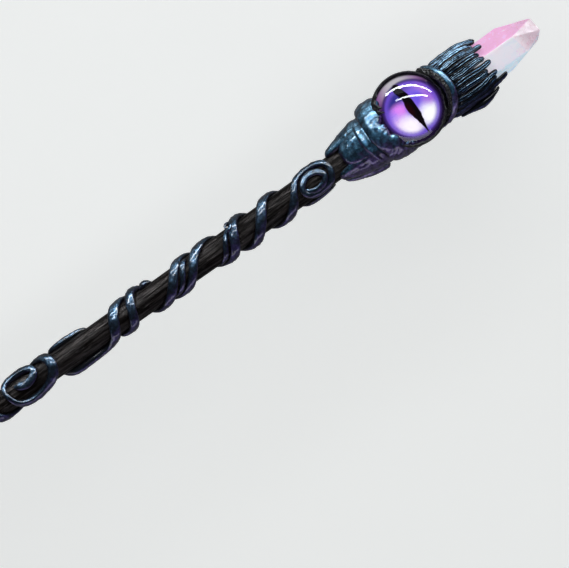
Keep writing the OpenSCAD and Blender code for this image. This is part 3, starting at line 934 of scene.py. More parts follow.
@dataclass(frozen=True)
class Strand:
    """One clay strand: its knots and how it was worked."""

    name: str
    knots: Sequence[Knot]
    rod: float = 4.5
    spacing: float = 0.45
    sides: int = 20
    shoulder: float = 0.38
    sink: float = 0.15
    squareness: float = 0.85
    grooves: float = 1.0
    groove_depth: float = 0.0
    wrinkles: float = 10.0
    wrinkle_slant: float = 0.0
    wrinkle_depth: float = 0.0
    lump_size: float = 2.2
    lump_depth: float = 0.35
    ragged_size: float = 1.6
    ragged_depth: float = 0.0
    seed: float = 0.0

    def length(self) -> float:
        """Length through the knots, in millimetres."""
        flat = np.array([(k[0], math.radians(k[1]) * self.rod) for k in self.knots])
        return float(np.linalg.norm(np.diff(flat, axis=0), axis=1).sum())

    def line(self) -> bpy.types.Mesh:
        """The knots as a line, rolled out flat, with their half widths and heights.

        Returns:
            The line.
        """
        line = bpy.data.meshes.new(self.name + "_line")
        verts = [(k[0] * MM, math.radians(k[1]) * self.rod * MM, k[2] * MM) for k in self.knots]
        line.from_pydata(verts, [(i, i + 1) for i in range(len(verts) - 1)], [])
        for name, column in (("half_width", 3), ("height", 4)):
            attribute = line.attributes.new(name, "FLOAT", "POINT")
            attribute.data.foreach_set("value", [k[column] * MM for k in self.knots])
        return line

    def mesh(self, material: bpy.types.Material) -> bpy.types.Mesh:
        """Runs the tree on the knots.

        Args:
            material: the strand's finish.

        Returns:
            The plain mesh.
        """
        line = self.line()
        maker = bpy.data.objects.new(self.name + "_maker", line)
        bpy.context.scene.collection.objects.link(maker)
        tree = strand_tree()
        modifier = maker.modifiers.new("strand", "NODES")
        modifier.node_group = tree
        socket = {i.name: i.identifier for i in tree.interface.items_tree if i.in_out == "INPUT"}
        values = {name: getattr(self, key) * unit for name, (key, unit) in STRAND_INPUTS.items()}
        values.update(Rings=max(8, int(self.length() / self.spacing)), Sides=self.sides, Material=material)
        for name, value in values.items():
            modifier[socket[name]] = value
        graph = bpy.context.evaluated_depsgraph_get()
        made = bpy.data.meshes.new_from_object(maker.evaluated_get(graph), depsgraph=graph)
        maker.modifiers.remove(modifier)
        bpy.data.objects.remove(maker)
        bpy.data.meshes.remove(line)
        return made

    def piece(self, material: bpy.types.Material, slot: Slot) -> bpy.types.Object:
        """The strand as a piece that stands for the CAD node of its name."""
        return finished(self.name + "_clay", self.mesh(material), None, self.name)


# ---- Sub-assemblies ----


@dataclass
class Shaft:
    """The stained dowel."""

    butt_r: float = 3.8
    neck_r: float = 4.6
    butt_l: float = 24.0
    chamfer: float = 1.0
    taper_end: float = 230.0
    length: float = 268.0
    tenon: float = 20.0  # the smooth end inside the head
    sides: int = 72
    grain: float = 0.035

    def radius(self, x: float | np.ndarray) -> float | np.ndarray:
        """The wood's radius at x."""
        start = self.butt_l + self.chamfer
        share = np.clip((x - start) / (self.taper_end - start), 0.0, 1.0)
        return self.butt_r + (self.neck_r - self.butt_r) * share

    def build(self, finish: StainedWood) -> None:
        """Turns the dowel, with its grain raised a little.

        Args:
            finish: the wood's finish.
        """
        ends = np.array([0.0, 0.12, 0.35, 0.65, 1.0])
        xs = np.concatenate([ends * self.chamfer, np.arange(1.8, self.length, 0.8), [self.length]])
        radii = self.radius(xs)
        depth = np.clip(1.0 - xs / self.chamfer, 0.0, 1.0)
        radii = radii - self.chamfer * (1.0 - np.sqrt(1.0 - depth**2))
        x, a = np.meshgrid(xs, around(self.sides), indexing="ij")
        r = radii[:, None] * np.ones_like(a)
        grain = lumps(about_shaft(x, r, a) * np.array([0.03, 1.0, 1.0]), 0.9, 3.7)
        r = r + self.grain * grain * (x < self.length - self.tenon)
        finished("shaft_wood", ring_mesh(about_shaft(x, r, a)), finish.material(), "shaft")


@dataclass
class Vines:
    """The clay strands wound on the shaft, as rows of along, angle, half width, height and lift."""

    shaft: Shaft
    step: float = 4.05  # how far a knot of the handle's windings lies from the last
    step_turn: float = 54.0

    def knots(self, rows: Sequence[Row]) -> list[Knot]:
        """Knots on the wood from rows of along, angle, half width, height and lift, if any."""
        return [(row[0], row[1], float(self.shaft.radius(row[0])) + sum(row[4:]), row[2], row[3])
                for row in rows]

    def winding(self, x: float, angle: float, count: int, beat: float) -> list[Row]:
        """Even turns down the handle.

        Args:
            x: where the first knot lies.
            angle: the first knot's angle.
            count: how many knots there are.
            beat: degrees that the width's slow wave moves on with each knot.

        Returns:
            The rows.
        """
        return [(x - self.step * i, angle - self.step_turn * i,
                 1.6 + 0.15 * math.sin(math.radians(beat * i)), 1.8) for i in range(count)]

    def vine_a(self) -> list[Row]:
        """The long hook behind the shaft, three turns, and the flat curl below the head.

        Returns:
            The rows.
        """
        return [
            (146.5, 318, 0.5, 0.6), (145.2, 332, 1.1, 1.5), (141.5, 346, 1.4, 2.0),
            (137, 348, 1.5, 2.2), (133, 334, 1.5, 2.2), (131.4, 295, 1.6, 2.1),
            (132, 245, 1.6, 2.3), (135.5, 208, 1.7, 3.2), (142, 197, 1.7, 2.9),
            (148.5, 190, 1.7, 2.5), (152.5, 152, 1.8, 1.7), (154.4, 110, 1.9, 1.7),
            (156.1, 70, 1.9, 1.9), (158, 35, 1.9, 2.0), (160.5, 0, 1.8, 2.0),
            (164.5, -55, 1.7, 1.9), (168, -110, 1.7, 1.9), (172.5, -175, 1.8, 1.9),
            (176.5, -228, 1.7, 1.7), (179.8, -272, 1.6, 1.7), (182.8, -315, 1.6, 1.8),
            (186, -360, 1.6, 1.7), (190.5, -425, 1.7, 1.8), (195.5, -485, 1.7, 1.8),
            (200.3, -540, 1.8, 1.8), (203.6, -600, 1.7, 1.8), (206, -655, 1.7, 1.9),
            (209, -720, 1.8, 2.1), (213.5, -790, 1.7, 1.9), (218.5, -850, 1.7, 1.9),
            (223, -900, 1.8, 1.8), (226, -938, 1.7, 1.8), (228.8, -976, 1.4, 1.8),
            (231, -1010, 1.1, 1.8), (233.6, -1042, 1.05, 1.9), (237, -1056, 1.05, 1.9),
            (241, -1052, 1.05, 1.9), (244.2, -1026, 1.05, 1.9), (244.9, -992, 1.05, 1.9),
            (243, -958, 1.05, 1.9), (239.2, -944, 1.05, 1.8), (235.8, -948, 1.05, 1.8),
            (233.3, -972, 1.0, 1.8), (233.9, -1002, 1.0, 1.8), (236.8, -1023, 1.0, 1.8),
            (240.2, -1018, 1.0, 1.7), (242.2, -992, 1.0, 1.7), (240.8, -970, 0.95, 1.8),
            (237.8, -962, 0.9, 1.8), (235.2, -970, 0.75, 1.7), (234.3, -984, 0.35, 0.9)]

    def vine_b(self) -> list[Row]:
        """The second winding of the double helix.

        Returns:
            The rows.
        """
        return [
            (154.6, 216, 0.5, 0.6), (156, 200, 1.3, 1.5), (159, 180, 1.8, 1.9),
            (161.4, 130, 1.7, 1.7), (162.8, 85, 1.6, 1.7), (164.2, 45, 1.7, 2.0),
            (166.2, 5, 1.7, 2.6), (170.5, -60, 1.6, 1.9), (175.5, -120, 1.6, 1.8),
            (181.2, -180, 1.6, 1.8), (184.8, -225, 1.5, 1.7), (187.6, -265, 1.5, 1.7),
            (190.9, -312, 1.7, 1.8), (195.2, -360, 1.8, 1.8), (200.2, -425, 1.7, 1.8),
            (205, -485, 1.7, 1.9), (209.6, -540, 1.9, 2.3), (213.2, -590, 1.8, 1.9),
            (216.2, -632, 1.8, 1.8), (218.8, -674, 1.8, 1.9), (221.8, -720, 1.8, 1.9),
            (226, -780, 1.6, 1.8), (230.4, -840, 1.5, 1.7), (235, -895, 1.3, 1.6),
            (240, -905, 1.0, 1.3), (243.5, -905, 0.4, 0.6)]

    def vine_c(self) -> list[Row]:
        """The spiral on the front and the winding down the handle.

        Returns:
            The rows.
        """
        spiral = [
            (115.2, 62, 0.5, 0.7), (116.6, 74, 1.2, 1.6), (119.3, 84, 1.4, 1.8),
            (122.2, 76, 1.3, 1.8), (123.8, 56, 1.3, 2.0), (122.8, 33, 1.3, 2.3),
            (119.6, 19, 1.2, 2.5), (115.6, 17, 1.1, 2.3), (112.8, 30, 1.0, 1.9),
            (111.6, 60, 0.9, 1.6), (112, 96, 0.9, 1.7), (113.6, 131, 1.1, 2.1),
            (117, 155, 1.3, 2.5), (121.2, 157, 1.5, 2.4), (125.7, 140, 1.7, 2.0),
            (129, 107, 1.8, 1.9), (130.2, 72, 1.8, 2.0), (129.6, 38, 1.8, 2.0),
            (127.6, 5, 1.8, 1.9), (124, -40, 1.7, 1.8), (119.5, -90, 1.6, 1.8),
            (114, -138, 1.7, 1.8)]
        end = [(28.2, -1265, 1.2, 1.4), (27.3, -1290, 0.4, 0.5)]
        return spiral + self.winding(108.5, -180, 20, 70) + end

    def vine_d(self) -> list[Row]:
        """The second winding on the handle.

        Returns:
            The rows.
        """
        return ([(104, -62, 0.4, 0.5), (102.3, -84, 1.2, 1.4)] + self.winding(99.4, -124, 16, 50)
                + [(35.6, -968, 1.2, 1.4), (34.4, -990, 0.4, 0.5)])

    def tendrils(self) -> dict[str, list[Row]]:
        """The short strands.

        Returns:
            Each strand's rows, by its name.
        """
        return {
            "tendril_mid": [
                (177.6, -190, 0.3, 0.4), (179.8, -215, 0.7, 1.1), (182.3, -248, 0.9, 1.4),
                (184.3, -283, 1.0, 1.5), (186, -313, 1.0, 1.4), (187.5, -330, 0.4, 0.5)],
            "tendril_curl": [
                (196.4, -556, 0.4, 0.6), (199.2, -590, 0.9, 1.2), (201.3, -630, 0.9, 1.3),
                (202.9, -656, 0.75, 1.3, 0.2), (204.2, -666, 0.6, 1.2, 0.9),
                (205.6, -664, 0.5, 1.1, 1.4), (206.6, -674, 0.45, 1.1, 1.5),
                (206.3, -686, 0.45, 1.1, 1.4), (205.2, -690, 0.45, 1.1, 1.3),
                (204.5, -682, 0.4, 1.0, 1.2), (204.6, -675, 0.2, 0.7, 1.1)],
            "tendril_top": [
                (168.9, 16, 0.5, 1.0), (170.2, 12, 1.1, 1.9), (171.8, 6, 1.1, 1.9),
                (173.6, 2, 0.4, 0.5)],
            "tendril_neck": [
                (236.5, -66, 0.5, 0.6), (238.6, -40, 1.1, 1.5), (241, -14, 1.2, 1.7),
                (242.8, -2, 0.4, 0.6)],
        }

    def build(self, finish: MicaClay) -> None:
        """Lays every strand.

        Args:
            finish: the vines' finish.
        """
        clay = finish.material()
        long = {"vine_a": self.vine_a(), "vine_b": self.vine_b(), "vine_c": self.vine_c(),
                "vine_d": self.vine_d()}
        for seed, (name, rows) in enumerate({**long, **self.tendrils()}.items()):
            knobby = name == "tendril_top"
            Strand(name, self.knots(rows), grooves=2.0, groove_depth=0.08,
                   lump_size=1.0 if knobby else 2.2, lump_depth=2.2 if knobby else 0.6,
                   spacing=0.35, sides=24, seed=2.3 * seed + 1.0).piece(clay, Slot.VINE)


@dataclass
class Head:
    """The clay head: its core, leaves, fold, lid, bands and collar."""

    eye_x: float = EYE[0]
    eye_y: float = EYE[1]
    core_x: tuple[float, float] = (250.2, 303.0)
    core_step: float = 0.55
    core_sides: int = 200
    cone_x: float = 250.0
    cone_r: float = 4.75
    cone_rise: float = 0.225
    core_r: float = 9.0
    land_r: float = 7.2
    drum_arc: float = 16.8
    fold_arc: float = 18.35
    band_arc: float = 14.6
    band_swell: float = 1.6
    flat_z: float = -11.2
    flat: tuple[float, float] = (267.0, 294.0)
    collar_count: int = 24
    collar_half: float = 1.22
    tail: int = 10  # the collar strand that ends in a long thin tail
    tail_x: float = 312.6
    seat_r: float = 13.2
    seat_z: float = 4.4
    cup_r: float = 12.4
    ridge: float = 0.55

    def beside_eye(self, side: int, arc: float, angle: float, r: float) -> float:
        """X of the point at an arc about the eye, for an angle about the shaft and a radius."""
        return self.eye_x + side * math.sqrt(
            arc**2 - (r * math.cos(math.radians(angle)) - self.eye_y) ** 2)

    def swollen(self, arc: float, swell: float, angle: float) -> float:
        """An arc about the eye that is wider by up to swell on the front."""
        return arc + swell * max(0.0, math.sin(math.radians(angle))) ** 1.5

    def plain_core(self, x: np.ndarray, a: np.ndarray) -> np.ndarray:
        """The core before it is worked: a cone, a drum and a flare up to the cup.

        Args:
            x: each point's x.
            a: each point's angle about the shaft.

        Returns:
            Each point's radius.
        """
        start = np.array([[self.beside_eye(-1, self.drum_arc, math.degrees(v), self.core_r)
                           for v in a[0]]])
        low = np.minimum(self.cone_r + (x - self.cone_x) * self.cone_rise, self.land_r)
        r = low + (self.core_r - low) * smoothstep(x, start - 0.4, start + 1.2)
        flare = np.sqrt(np.maximum(self.cup_r**2 - (x - self.eye_x) ** 2, 0.0)) + self.eye_y * np.cos(a)
        reach = flare * smoothstep(np.sin(a) * 14.0, -6.5, 4.4)
        return r + np.maximum(reach - r, 0.0) * smoothstep(np.abs(np.cos(a)), 0.55, 0.85)

    def flat_back(self, x: np.ndarray, a: np.ndarray, plain: np.ndarray
                  ) -> tuple[np.ndarray, np.ndarray]:
        """The flat back that the head was baked on.

        Args:
            x: each point's x.
            a: each point's angle about the shaft.
            plain: the points before they are pressed.

        Returns:
            The flat's radius, and the share from 0 to 1 that each point is pressed to it.
        """
        back = -self.flat_z / np.clip(-np.sin(a), 0.25, 1.0)
        edge = 1.1 * lumps(plain, 4.0, 5.5)
        side = smoothstep(np.abs(back * np.cos(a)) + edge, 7.4, 4.9) * (np.sin(a) < -0.5)
        start = smoothstep(x + edge, self.flat[0] - 2.5, self.flat[0] + 1.0)
        end = smoothstep(-x + edge, -self.flat[1] - 2.5, -self.flat[1] + 1.0)
        return back, side * start * end

    def build_core(self, finish: MicaClay) -> None:
        """Models the core, with a drum whose rear end curves round the eye and a flat back.

        Args:
            finish: the core's finish.
        """
        rim = self.core_x[1] + np.array([0.2, 0.7, 1.0])
        xs = np.concatenate([np.arange(*self.core_x, self.core_step), rim])
        x, a = np.meshgrid(xs, around(self.core_sides), indexing="ij")
        r = self.plain_core(x, a)
        plain = about_shaft(x, r, a)
        warp = lumps(plain * np.array([0.5, 1.0, 1.0]), 5.0, 2.6)
        ridge = np.abs(np.cos(6.5 * a + 0.05 * (x - self.eye_x) + 1.9 * warp)) ** 0.7
        r = r - self.ridge * (1.0 - ridge) * smoothstep(x, 259.0, 262.0)
        back, pressed = self.flat_back(x, a, plain)
        r = r + (np.maximum(back, r) - r) * pressed
        r = r - 1.2 * smoothstep(x, 302.6, 304.6)
        points = about_shaft(x, r, a)
        worked = 0.22 * lumps(points, 3.5, 1.3) + 0.12 * lumps(points, 1.3, 8.1)
        points = about_shaft(x, r + worked * (1.0 - 0.75 * pressed) - 0.1, a)
        beside = np.hypot(points[..., 0] - self.eye_x, points[..., 1] - self.eye_y)
        seat = np.where(beside < self.seat_r, self.seat_z, self.core_r * 2.0)
        points[..., 2] = np.minimum(points[..., 2], seat)
        mesh = ring_mesh(points)
        strand = np.stack([points[..., 0] * MM, np.zeros_like(x), np.ones_like(x)], axis=-1)
        attribute = mesh.attributes.new(STRAND, "FLOAT_VECTOR", "POINT")
        attribute.data.foreach_set("vector", strand.astype(np.float32).ravel())
        finished("head_core_clay", mesh, finish.material(), "head_core")

    def leaf(self, name: str, tip: float, angle: float, half: float, height: float,
             seed: float) -> Strand:
        """A leaf laid on the neck cone, its root under the fold.

        Args:
            name: the CAD node's name.
            tip: x of its tip.
            angle: where it lies about the shaft.
            half: half its width.
            height: its thickness.
            seed: varies its lumps.

        Returns:
            The leaf.
        """
        shape = [(0.0, 0.30, 0.25), (0.025, 0.55, 0.45), (0.08, 0.78, 0.66), (0.2, 0.95, 0.84),
                 (0.45, 1.0, 0.95), (0.75, 1.0, 1.0), (0.93, 0.98, 0.94), (1.0, 0.9, 0.7)]
        knots = []
        root = self.beside_eye(-1, self.fold_arc - 0.2, angle, self.land_r + 1.0)
        for along, wide, thick in shape:
            x = tip + (root - tip) * along
            base = min(max(4.62, 4.85 + (x - 250.0) * 0.226), self.land_r)
            knots.append((x, angle, base, half * wide * base / 5.6, height * thick))
        return Strand(name, knots, rod=5.6, spacing=0.25, sides=56, squareness=0.8, grooves=2.5,
                      groove_depth=0.075, lump_size=2.4, lump_depth=0.9, seed=seed)

    def build_leaves(self, finish: MicaClay) -> None:
        """Lays the seven leaves.

        Args:
            finish: the leaves' finish.
        """
        clay = finish.material()
        rows = [
            ("leaf_front", 250.2, 80, 4.4, 2.9), ("leaf_upper", 246, 20, 2.5, 3.1),
            ("leaf_lower", 246.2, 143, 3.7, 2.9), ("leaf_under", 247, 188, 1.75, 3.8),
            ("leaf_back_lower", 248.5, 232, 2.45, 3.3), ("leaf_back", 247, 284, 2.45, 3.1),
            ("leaf_back_upper", 249, 330, 2.05, 3.2)]
        for seed, row in enumerate(rows):
            self.leaf(*row, seed=3.1 * seed).piece(clay, Slot.LEAF)

    def strip(self, side: int, start: float, end: float, arc: float, swell: float, r: float,
              half: float, height: float, lean: float) -> list[Knot]:
        """Knots of a strip that follows an arc about the eye and thins at both ends.

        Args:
            side: -1 behind the eye, 1 in front of it.
            start: first angle about the shaft.
            end: last angle.
            arc: the arc's radius about the eye.
            swell: how much more it is at the front.
            r: radius of the surface under the strip.
            half: half its width.
            height: its thickness.
            lean: how much thicker it is on the +Y side.

        Returns:
            The knots.
        """
        knots = []
        for t in np.linspace(0.0, 1.0, 17):
            angle = start + (end - start) * t
            taper = 0.3 + 0.7 * math.sqrt(math.sin(math.pi * t) + 1e-9)
            x = self.beside_eye(side, self.swollen(arc, swell, angle), angle, r + 1.0)
            thick = (height + lean * math.cos(math.radians(angle))) * taper
            knots.append((x, angle, r, half * taper, thick))
        return knots

    def lid_knots(self) -> list[Knot]:
        """The wide lid on the shaft's side of the eye.

        Returns:
            The knots.
        """
        front = [(-42, 13.6, 1.4, 1.0), (-12, 14.2, 4.0, 3.3), (14, 14.5, 5.0, 3.9),
                 (48, 14.0, 4.0, 3.5), (70, 13.7, 3.2, 2.9), (85, 13.5, 3.4, 2.8),
                 (105, 13.6, 3.3, 2.6), (125, 13.6, 3.7, 2.5), (146, 14.5, 4.4, 2.5)]
        base = self.core_r
        knots = [(self.beside_eye(-1, arc, a, base + h / 2), a, base, w, h) for a, arc, w, h in front]
        return knots + [(270.7, 163, base, 4.8, 2.3), (275.6, 178, base, 3.2, 2.0),
                        (280.2, 187, base, 2.2, 1.8), (284.6, 190, base, 1.6, 1.5),
                        (288.2, 192, base, 0.7, 0.9)]

    def build_strips(self, finish: MicaClay, rough: BareClay) -> None:
        """Lays the fold, the lid and both bands.

        Args:
            finish: the smooth strips' finish.
            rough: the inner band's finish.
        """
        clay = finish.material()
        # The inner band's pale specks are brighter: part dirt, part painted glints on its lumps.
        bare = replace(rough, name="band_clay", dust_and_glint=(0.26, 0.20, 0.18), relief=0.40).material()
        base = self.core_r + 0.02
        Strand("rear_fold", self.strip(-1, -44, 224, self.fold_arc - 0.25, 0, self.land_r, 2.2, 3.2, 0),
               rod=8.5, spacing=0.3, sides=40, squareness=0.8, sink=0.6, grooves=0.75,
               groove_depth=0.12, lump_size=2.0, lump_depth=0.8, seed=4.0).piece(clay, Slot.LID)
        Strand("rear_lid", self.lid_knots(), rod=9.05, spacing=0.25, sides=64, shoulder=0.26,
               squareness=0.92, sink=0.3, grooves=1.5, groove_depth=0.03, wrinkles=18.0,
               wrinkle_slant=4.5, wrinkle_depth=0.16, lump_size=3.4, lump_depth=0.8,
               ragged_size=3.4, ragged_depth=5.0, seed=7.0).piece(clay, Slot.LID)
        Strand("front_inner_band",
               self.strip(1, -12, 154, self.band_arc - 1.55, self.band_swell, base, 1.15, 1.9, 0.8),
               rod=9.05, spacing=0.15, sides=32, lump_size=0.8, lump_depth=2.6,
               seed=9.0).piece(bare, Slot.DARK)
        Strand("front_band",
               self.strip(1, -42, 218, self.band_arc - 0.1, self.band_swell, base, 1.2, 2.1, 0.45),
               rod=9.05, spacing=0.25, sides=28, squareness=0.85, lump_size=2.6, lump_depth=0.35,
               seed=12.0).piece(clay, Slot.LID)

    def collar_start(self, angle: float) -> float:
        """X where a collar strand starts, clear of the band and of the flat back."""
        arc = self.swollen(self.band_arc, self.band_swell, angle) + 1.1
        beside = self.beside_eye(1, arc, angle, self.core_r + 1.0)
        return max(beside, self.flat[1] + 0.8) if 225 < angle < 315 else beside

    def collar_strand(self, index: int) -> Strand:
        """One of the strands that clasp the crystal's root; each sways, swells and ends its own way.

        Args:
            index: its number, from 0.

        Returns:
            The strand.
        """
        pitch = 360.0 / self.collar_count
        angle = pitch * (index + 0.5)
        sway = 0.12 * pitch * math.sin(math.radians(97 * index))
        half = self.collar_half
        start = self.collar_start(angle)
        end = 309.0 + 1.5 * math.sin(math.radians(137 * index + 30))
        end = self.tail_x if index == self.tail else end
        base = self.core_r
        crest = 1.75 + 0.15 * math.sin(math.radians(211 * index))
        knots = [
            (start, angle, base, half * 0.65, 0.9), (start + 2, angle + sway * 0.3, base, half, 1.5),
            ((start + 303.5) / 2, angle + sway, base, half, crest), (303.2, angle, base, half, 1.7),
            (306.4, angle - sway, 8.2, half * 0.95, 1.6), (end - 1.1, angle, 7.7, half * 0.85, 1.5),
            (end - 0.3, angle, 7.7, half * 0.6, 1.0), (end, angle, 7.8, half * 0.3, 0.5)]
        return Strand(f"collar_strand_{index + 1:02d}", knots, rod=9.05, spacing=0.22, sides=36,
                      grooves=1.5 + (index % 2) * 0.5, groove_depth=0.55, lump_size=2.0,
                      lump_depth=0.8, squareness=1.0, seed=1.9 * index)

    def build_collar(self, finish: MicaClay) -> None:
        """Lays the collar's strands and the thick one over them.

        Args:
            finish: the collar's finish.
        """
        clay = finish.material()
        for index in range(self.collar_count):
            self.collar_strand(index).piece(clay, Slot.COLLAR)
        over = [(291.5, 178, 10.5, 0.5, 0.6), (295.5, 176, 10.5, 1.2, 1.4),
                (300, 174, 10.5, 1.6, 2.4), (304.5, 174, 10.4, 1.4, 1.5), (307.5, 176, 9.6, 0.5, 0.8)]
        Strand("collar_over_strand", over, rod=10.5, spacing=0.25, sides=24, lump_size=2.0,
               lump_depth=0.6, seed=40.0).piece(clay, Slot.COLLAR)


@dataclass
class Eye:
    """The glass eye in its clay cup."""

    centre: tuple[float, float] = EYE
    radius: float = 12.5
    floor_z: float = 5.9
    girdle: float = 0.8
    height: float = 7.0
    bezel_r: float = 12.95
    seat_z: float = 4.5
    lip: float = 1.4
    crumb: float = 3.2  # how far the lip creeps over the glass beside the lid
    crumb_at: tuple[float, float] = (152.0, 22.0)  # where it creeps, and how far round, in degrees
    slim_at: tuple[float, float] = (78.0, 48.0)  # where the lip is thinned
    lip_sides: int = 220
    dome_sides: int = 128

    def dome(self) -> tuple[float, float]:
        """The dome's radius and the height of its centre."""
        cap = self.height - self.girdle
        radius = (self.radius**2 + cap**2) / (2 * cap)
        return radius, self.floor_z + self.height - radius

    def ring(self, profile: np.ndarray, sides: int) -> np.ndarray:
        """Rings about the eye's axis from a profile of radius and height."""
        r, a = np.meshgrid(profile[:, 0], around(sides), indexing="ij")
        z = np.repeat(profile[:, 1:2], sides, axis=1)
        return np.stack([self.centre[0] + r * np.cos(a), self.centre[1] + r * np.sin(a), z], axis=-1)

    def build_glass(self, finish: ClearGlass) -> None:
        """Grinds the dome, with a smooth edge.

        Args:
            finish: the glass.
        """
        dome, middle = self.dome()
        limit = math.asin(self.radius / dome)
        tilt = np.linspace(limit, 0.004, 48)
        curve = np.stack([dome * np.sin(tilt), middle + dome * np.cos(tilt)], axis=1)
        foot = self.floor_z
        edge = np.array([(0.05, foot), (self.radius - 0.6, foot), (self.radius - 0.15, foot + 0.05),
                         (self.radius, foot + 0.2), (self.radius, foot + self.girdle - 0.05)])
        points = self.ring(np.concatenate([edge, curve]), self.dome_sides)
        finished("eye_glass_dome", ring_mesh(points), finish.material(), "eye_glass")

    def lip_profile(self) -> np.ndarray:
        """The cup's outline in short steps.

        Returns:
            Rows of radius and height.
        """
        top = self.floor_z + self.girdle
        wall = np.array([
            (self.radius - 1.2, self.seat_z), (self.bezel_r, self.seat_z), (self.bezel_r, top),
            (self.bezel_r - 0.12, top + self.lip * 0.6), (self.bezel_r - 0.50, top + self.lip),
            (self.radius - 0.30, top + self.lip), (self.radius - 0.62, top + self.lip * 0.72),
            (self.radius - 0.40, top + 0.52), (self.radius + 0.03, top + 0.2),
            (self.radius + 0.03, self.seat_z + 0.8), (self.radius - 1.2, self.seat_z + 0.8)])
        fine = []
        for a, b in zip(wall, np.roll(wall, -1, axis=0)):
            count = max(1, int(np.linalg.norm(b - a) / 0.3))
            fine += [a + (b - a) * i / count for i in range(count)]
        return np.array(fine)

    def build_bezel(self, finish: BareClay) -> None:
        """Models the cup's crumbly lip.

        Args:
            finish: the cup's finish.
        """
        top = self.floor_z + self.girdle
        points = self.ring(self.lip_profile(), self.lip_sides)
        out = points - np.array([*self.centre, 0.0])
        out[..., 2] = 0.0
        out /= np.linalg.norm(out, axis=-1, keepdims=True)
        dome, middle = self.dome()
        azimuth = np.degrees(np.arctan2(out[..., 1], out[..., 0]))
        beside = np.exp(-(((azimuth - self.crumb_at[0]) / self.crumb_at[1]) ** 2))
        ragged = 0.75 + 0.9 * lumps(out * 12.0, 1.5, 4.4)
        from_eye = np.hypot(points[..., 0] - self.centre[0], points[..., 1] - self.centre[1])
        inner = smoothstep(-from_eye, -self.bezel_r + 0.1, -self.radius + 0.5)
        creep = self.crumb * beside * ragged * inner * smoothstep(points[..., 2], top + 0.2, top + 0.6)
        reach = from_eye - np.clip(creep, 0.0, 4.0)
        rise = np.sqrt(dome**2 - np.minimum(reach, 13.0) ** 2) - np.sqrt(
            dome**2 - np.minimum(from_eye, 13.0) ** 2)
        points = points - out * (from_eye - reach)[..., None]
        points[..., 2] += rise
        rough = 0.38 * lumps(points, 1.3, 2.9) + 0.25 * lumps(points, 0.55, 6.3)
        lifted = smoothstep(points[..., 2], top + 0.1, top + self.lip * 0.8)
        slim = np.exp(-(((azimuth - self.slim_at[0]) / self.slim_at[1]) ** 2)) * lifted
        rough = rough * (1.0 - 0.6 * slim)
        points = points + out * (rough * lifted + 0.42 * slim * inner)[..., None]
        points[..., 2] += np.maximum(rough, -0.1) * lifted - 0.5 * slim
        finished("eye_bezel_clay", ring_mesh(points, looped=True), finish.material(),
                 "eye_bezel")


@dataclass
class CrystalPoint:
    """The quartz point."""

    across: float = 15.2
    root_share: float = 0.97  # the root's width as a share of the shoulders'
    belly: float = 1.1  # how far the lower shoulder stands out
    belly_side: int = 3
    edge: float = 0.9  # the mesh's longest edges
    turn: float = 20.0
    root_x: float = 299.1
    shoulders: tuple[float, ...] = (317.5, 320.5, 322.5, 314.5, 316.5, 315.0)
    tip: tuple[tuple[float, float, float], ...] = (
        (329.4, 3.1, 0.9), (330.0, -2.3, 1.3), (327.6, -4.6, 0.4), (329.2, -1.2, -2.2),
        (328.8, 2.2, -1.8))

    def corners(self) -> list[Vector]:
        """The point's corners, in metres.

        Returns:
            The root's and shoulders' corners in turn, then the tip's.
        """
        found = []
        for i, shoulder in enumerate(self.shoulders):
            angle = math.radians(self.turn + 60 * i)
            r = self.across / 2
            out = r + self.belly * (i == self.belly_side)
            for x, far in ((self.root_x, self.root_share * r), (shoulder, out)):
                found.append(Vector((x, far * math.cos(angle), far * math.sin(angle))))
        found += [Vector(t) for t in self.tip]
        return [v * MM for v in found]

    def build(self, finish: Quartz) -> None:
        """Cuts the point, then breaks its edges and waves its faces a little.

        Args:
            finish: the quartz.
        """
        builder = bmesh.new()
        for corner in self.corners():
            builder.verts.new(corner)
        bmesh.ops.convex_hull(builder, input=builder.verts)
        bmesh.ops.dissolve_limit(builder, angle_limit=math.radians(2), verts=builder.verts,
                                 edges=builder.edges)
        bmesh.ops.bevel(builder, geom=builder.edges[:], offset=0.22 * MM, segments=3, profile=0.5,
                        affect="EDGES")
        bmesh.ops.triangulate(builder, faces=[f for f in builder.faces if len(f.verts) > 4])
        for _ in range(4):
            long = [e for e in builder.edges if e.calc_length() > self.edge * MM]
            bmesh.ops.subdivide_edges(builder, edges=long, cuts=1, use_grid_fill=True)
            bmesh.ops.triangulate(builder, faces=[f for f in builder.faces if len(f.verts) > 4])
        builder.normal_update()
        for vert in builder.verts:
            place = vert.co / MM
            wave = noise.noise(Vector((place.x / 3.0, place.y / 4.0, place.z / 4.0)) + Vector((5, 2, 1)))
            chip = noise.noise(place * 0.9)
            vert.co += vert.normal * (0.05 * wave + 0.03 * chip) * MM
        mesh = smooth_mesh(builder)
        mesh.set_sharp_from_angle(angle=math.radians(22))
        finished("crystal_quartz", mesh, finish.material(), "crystal_point")


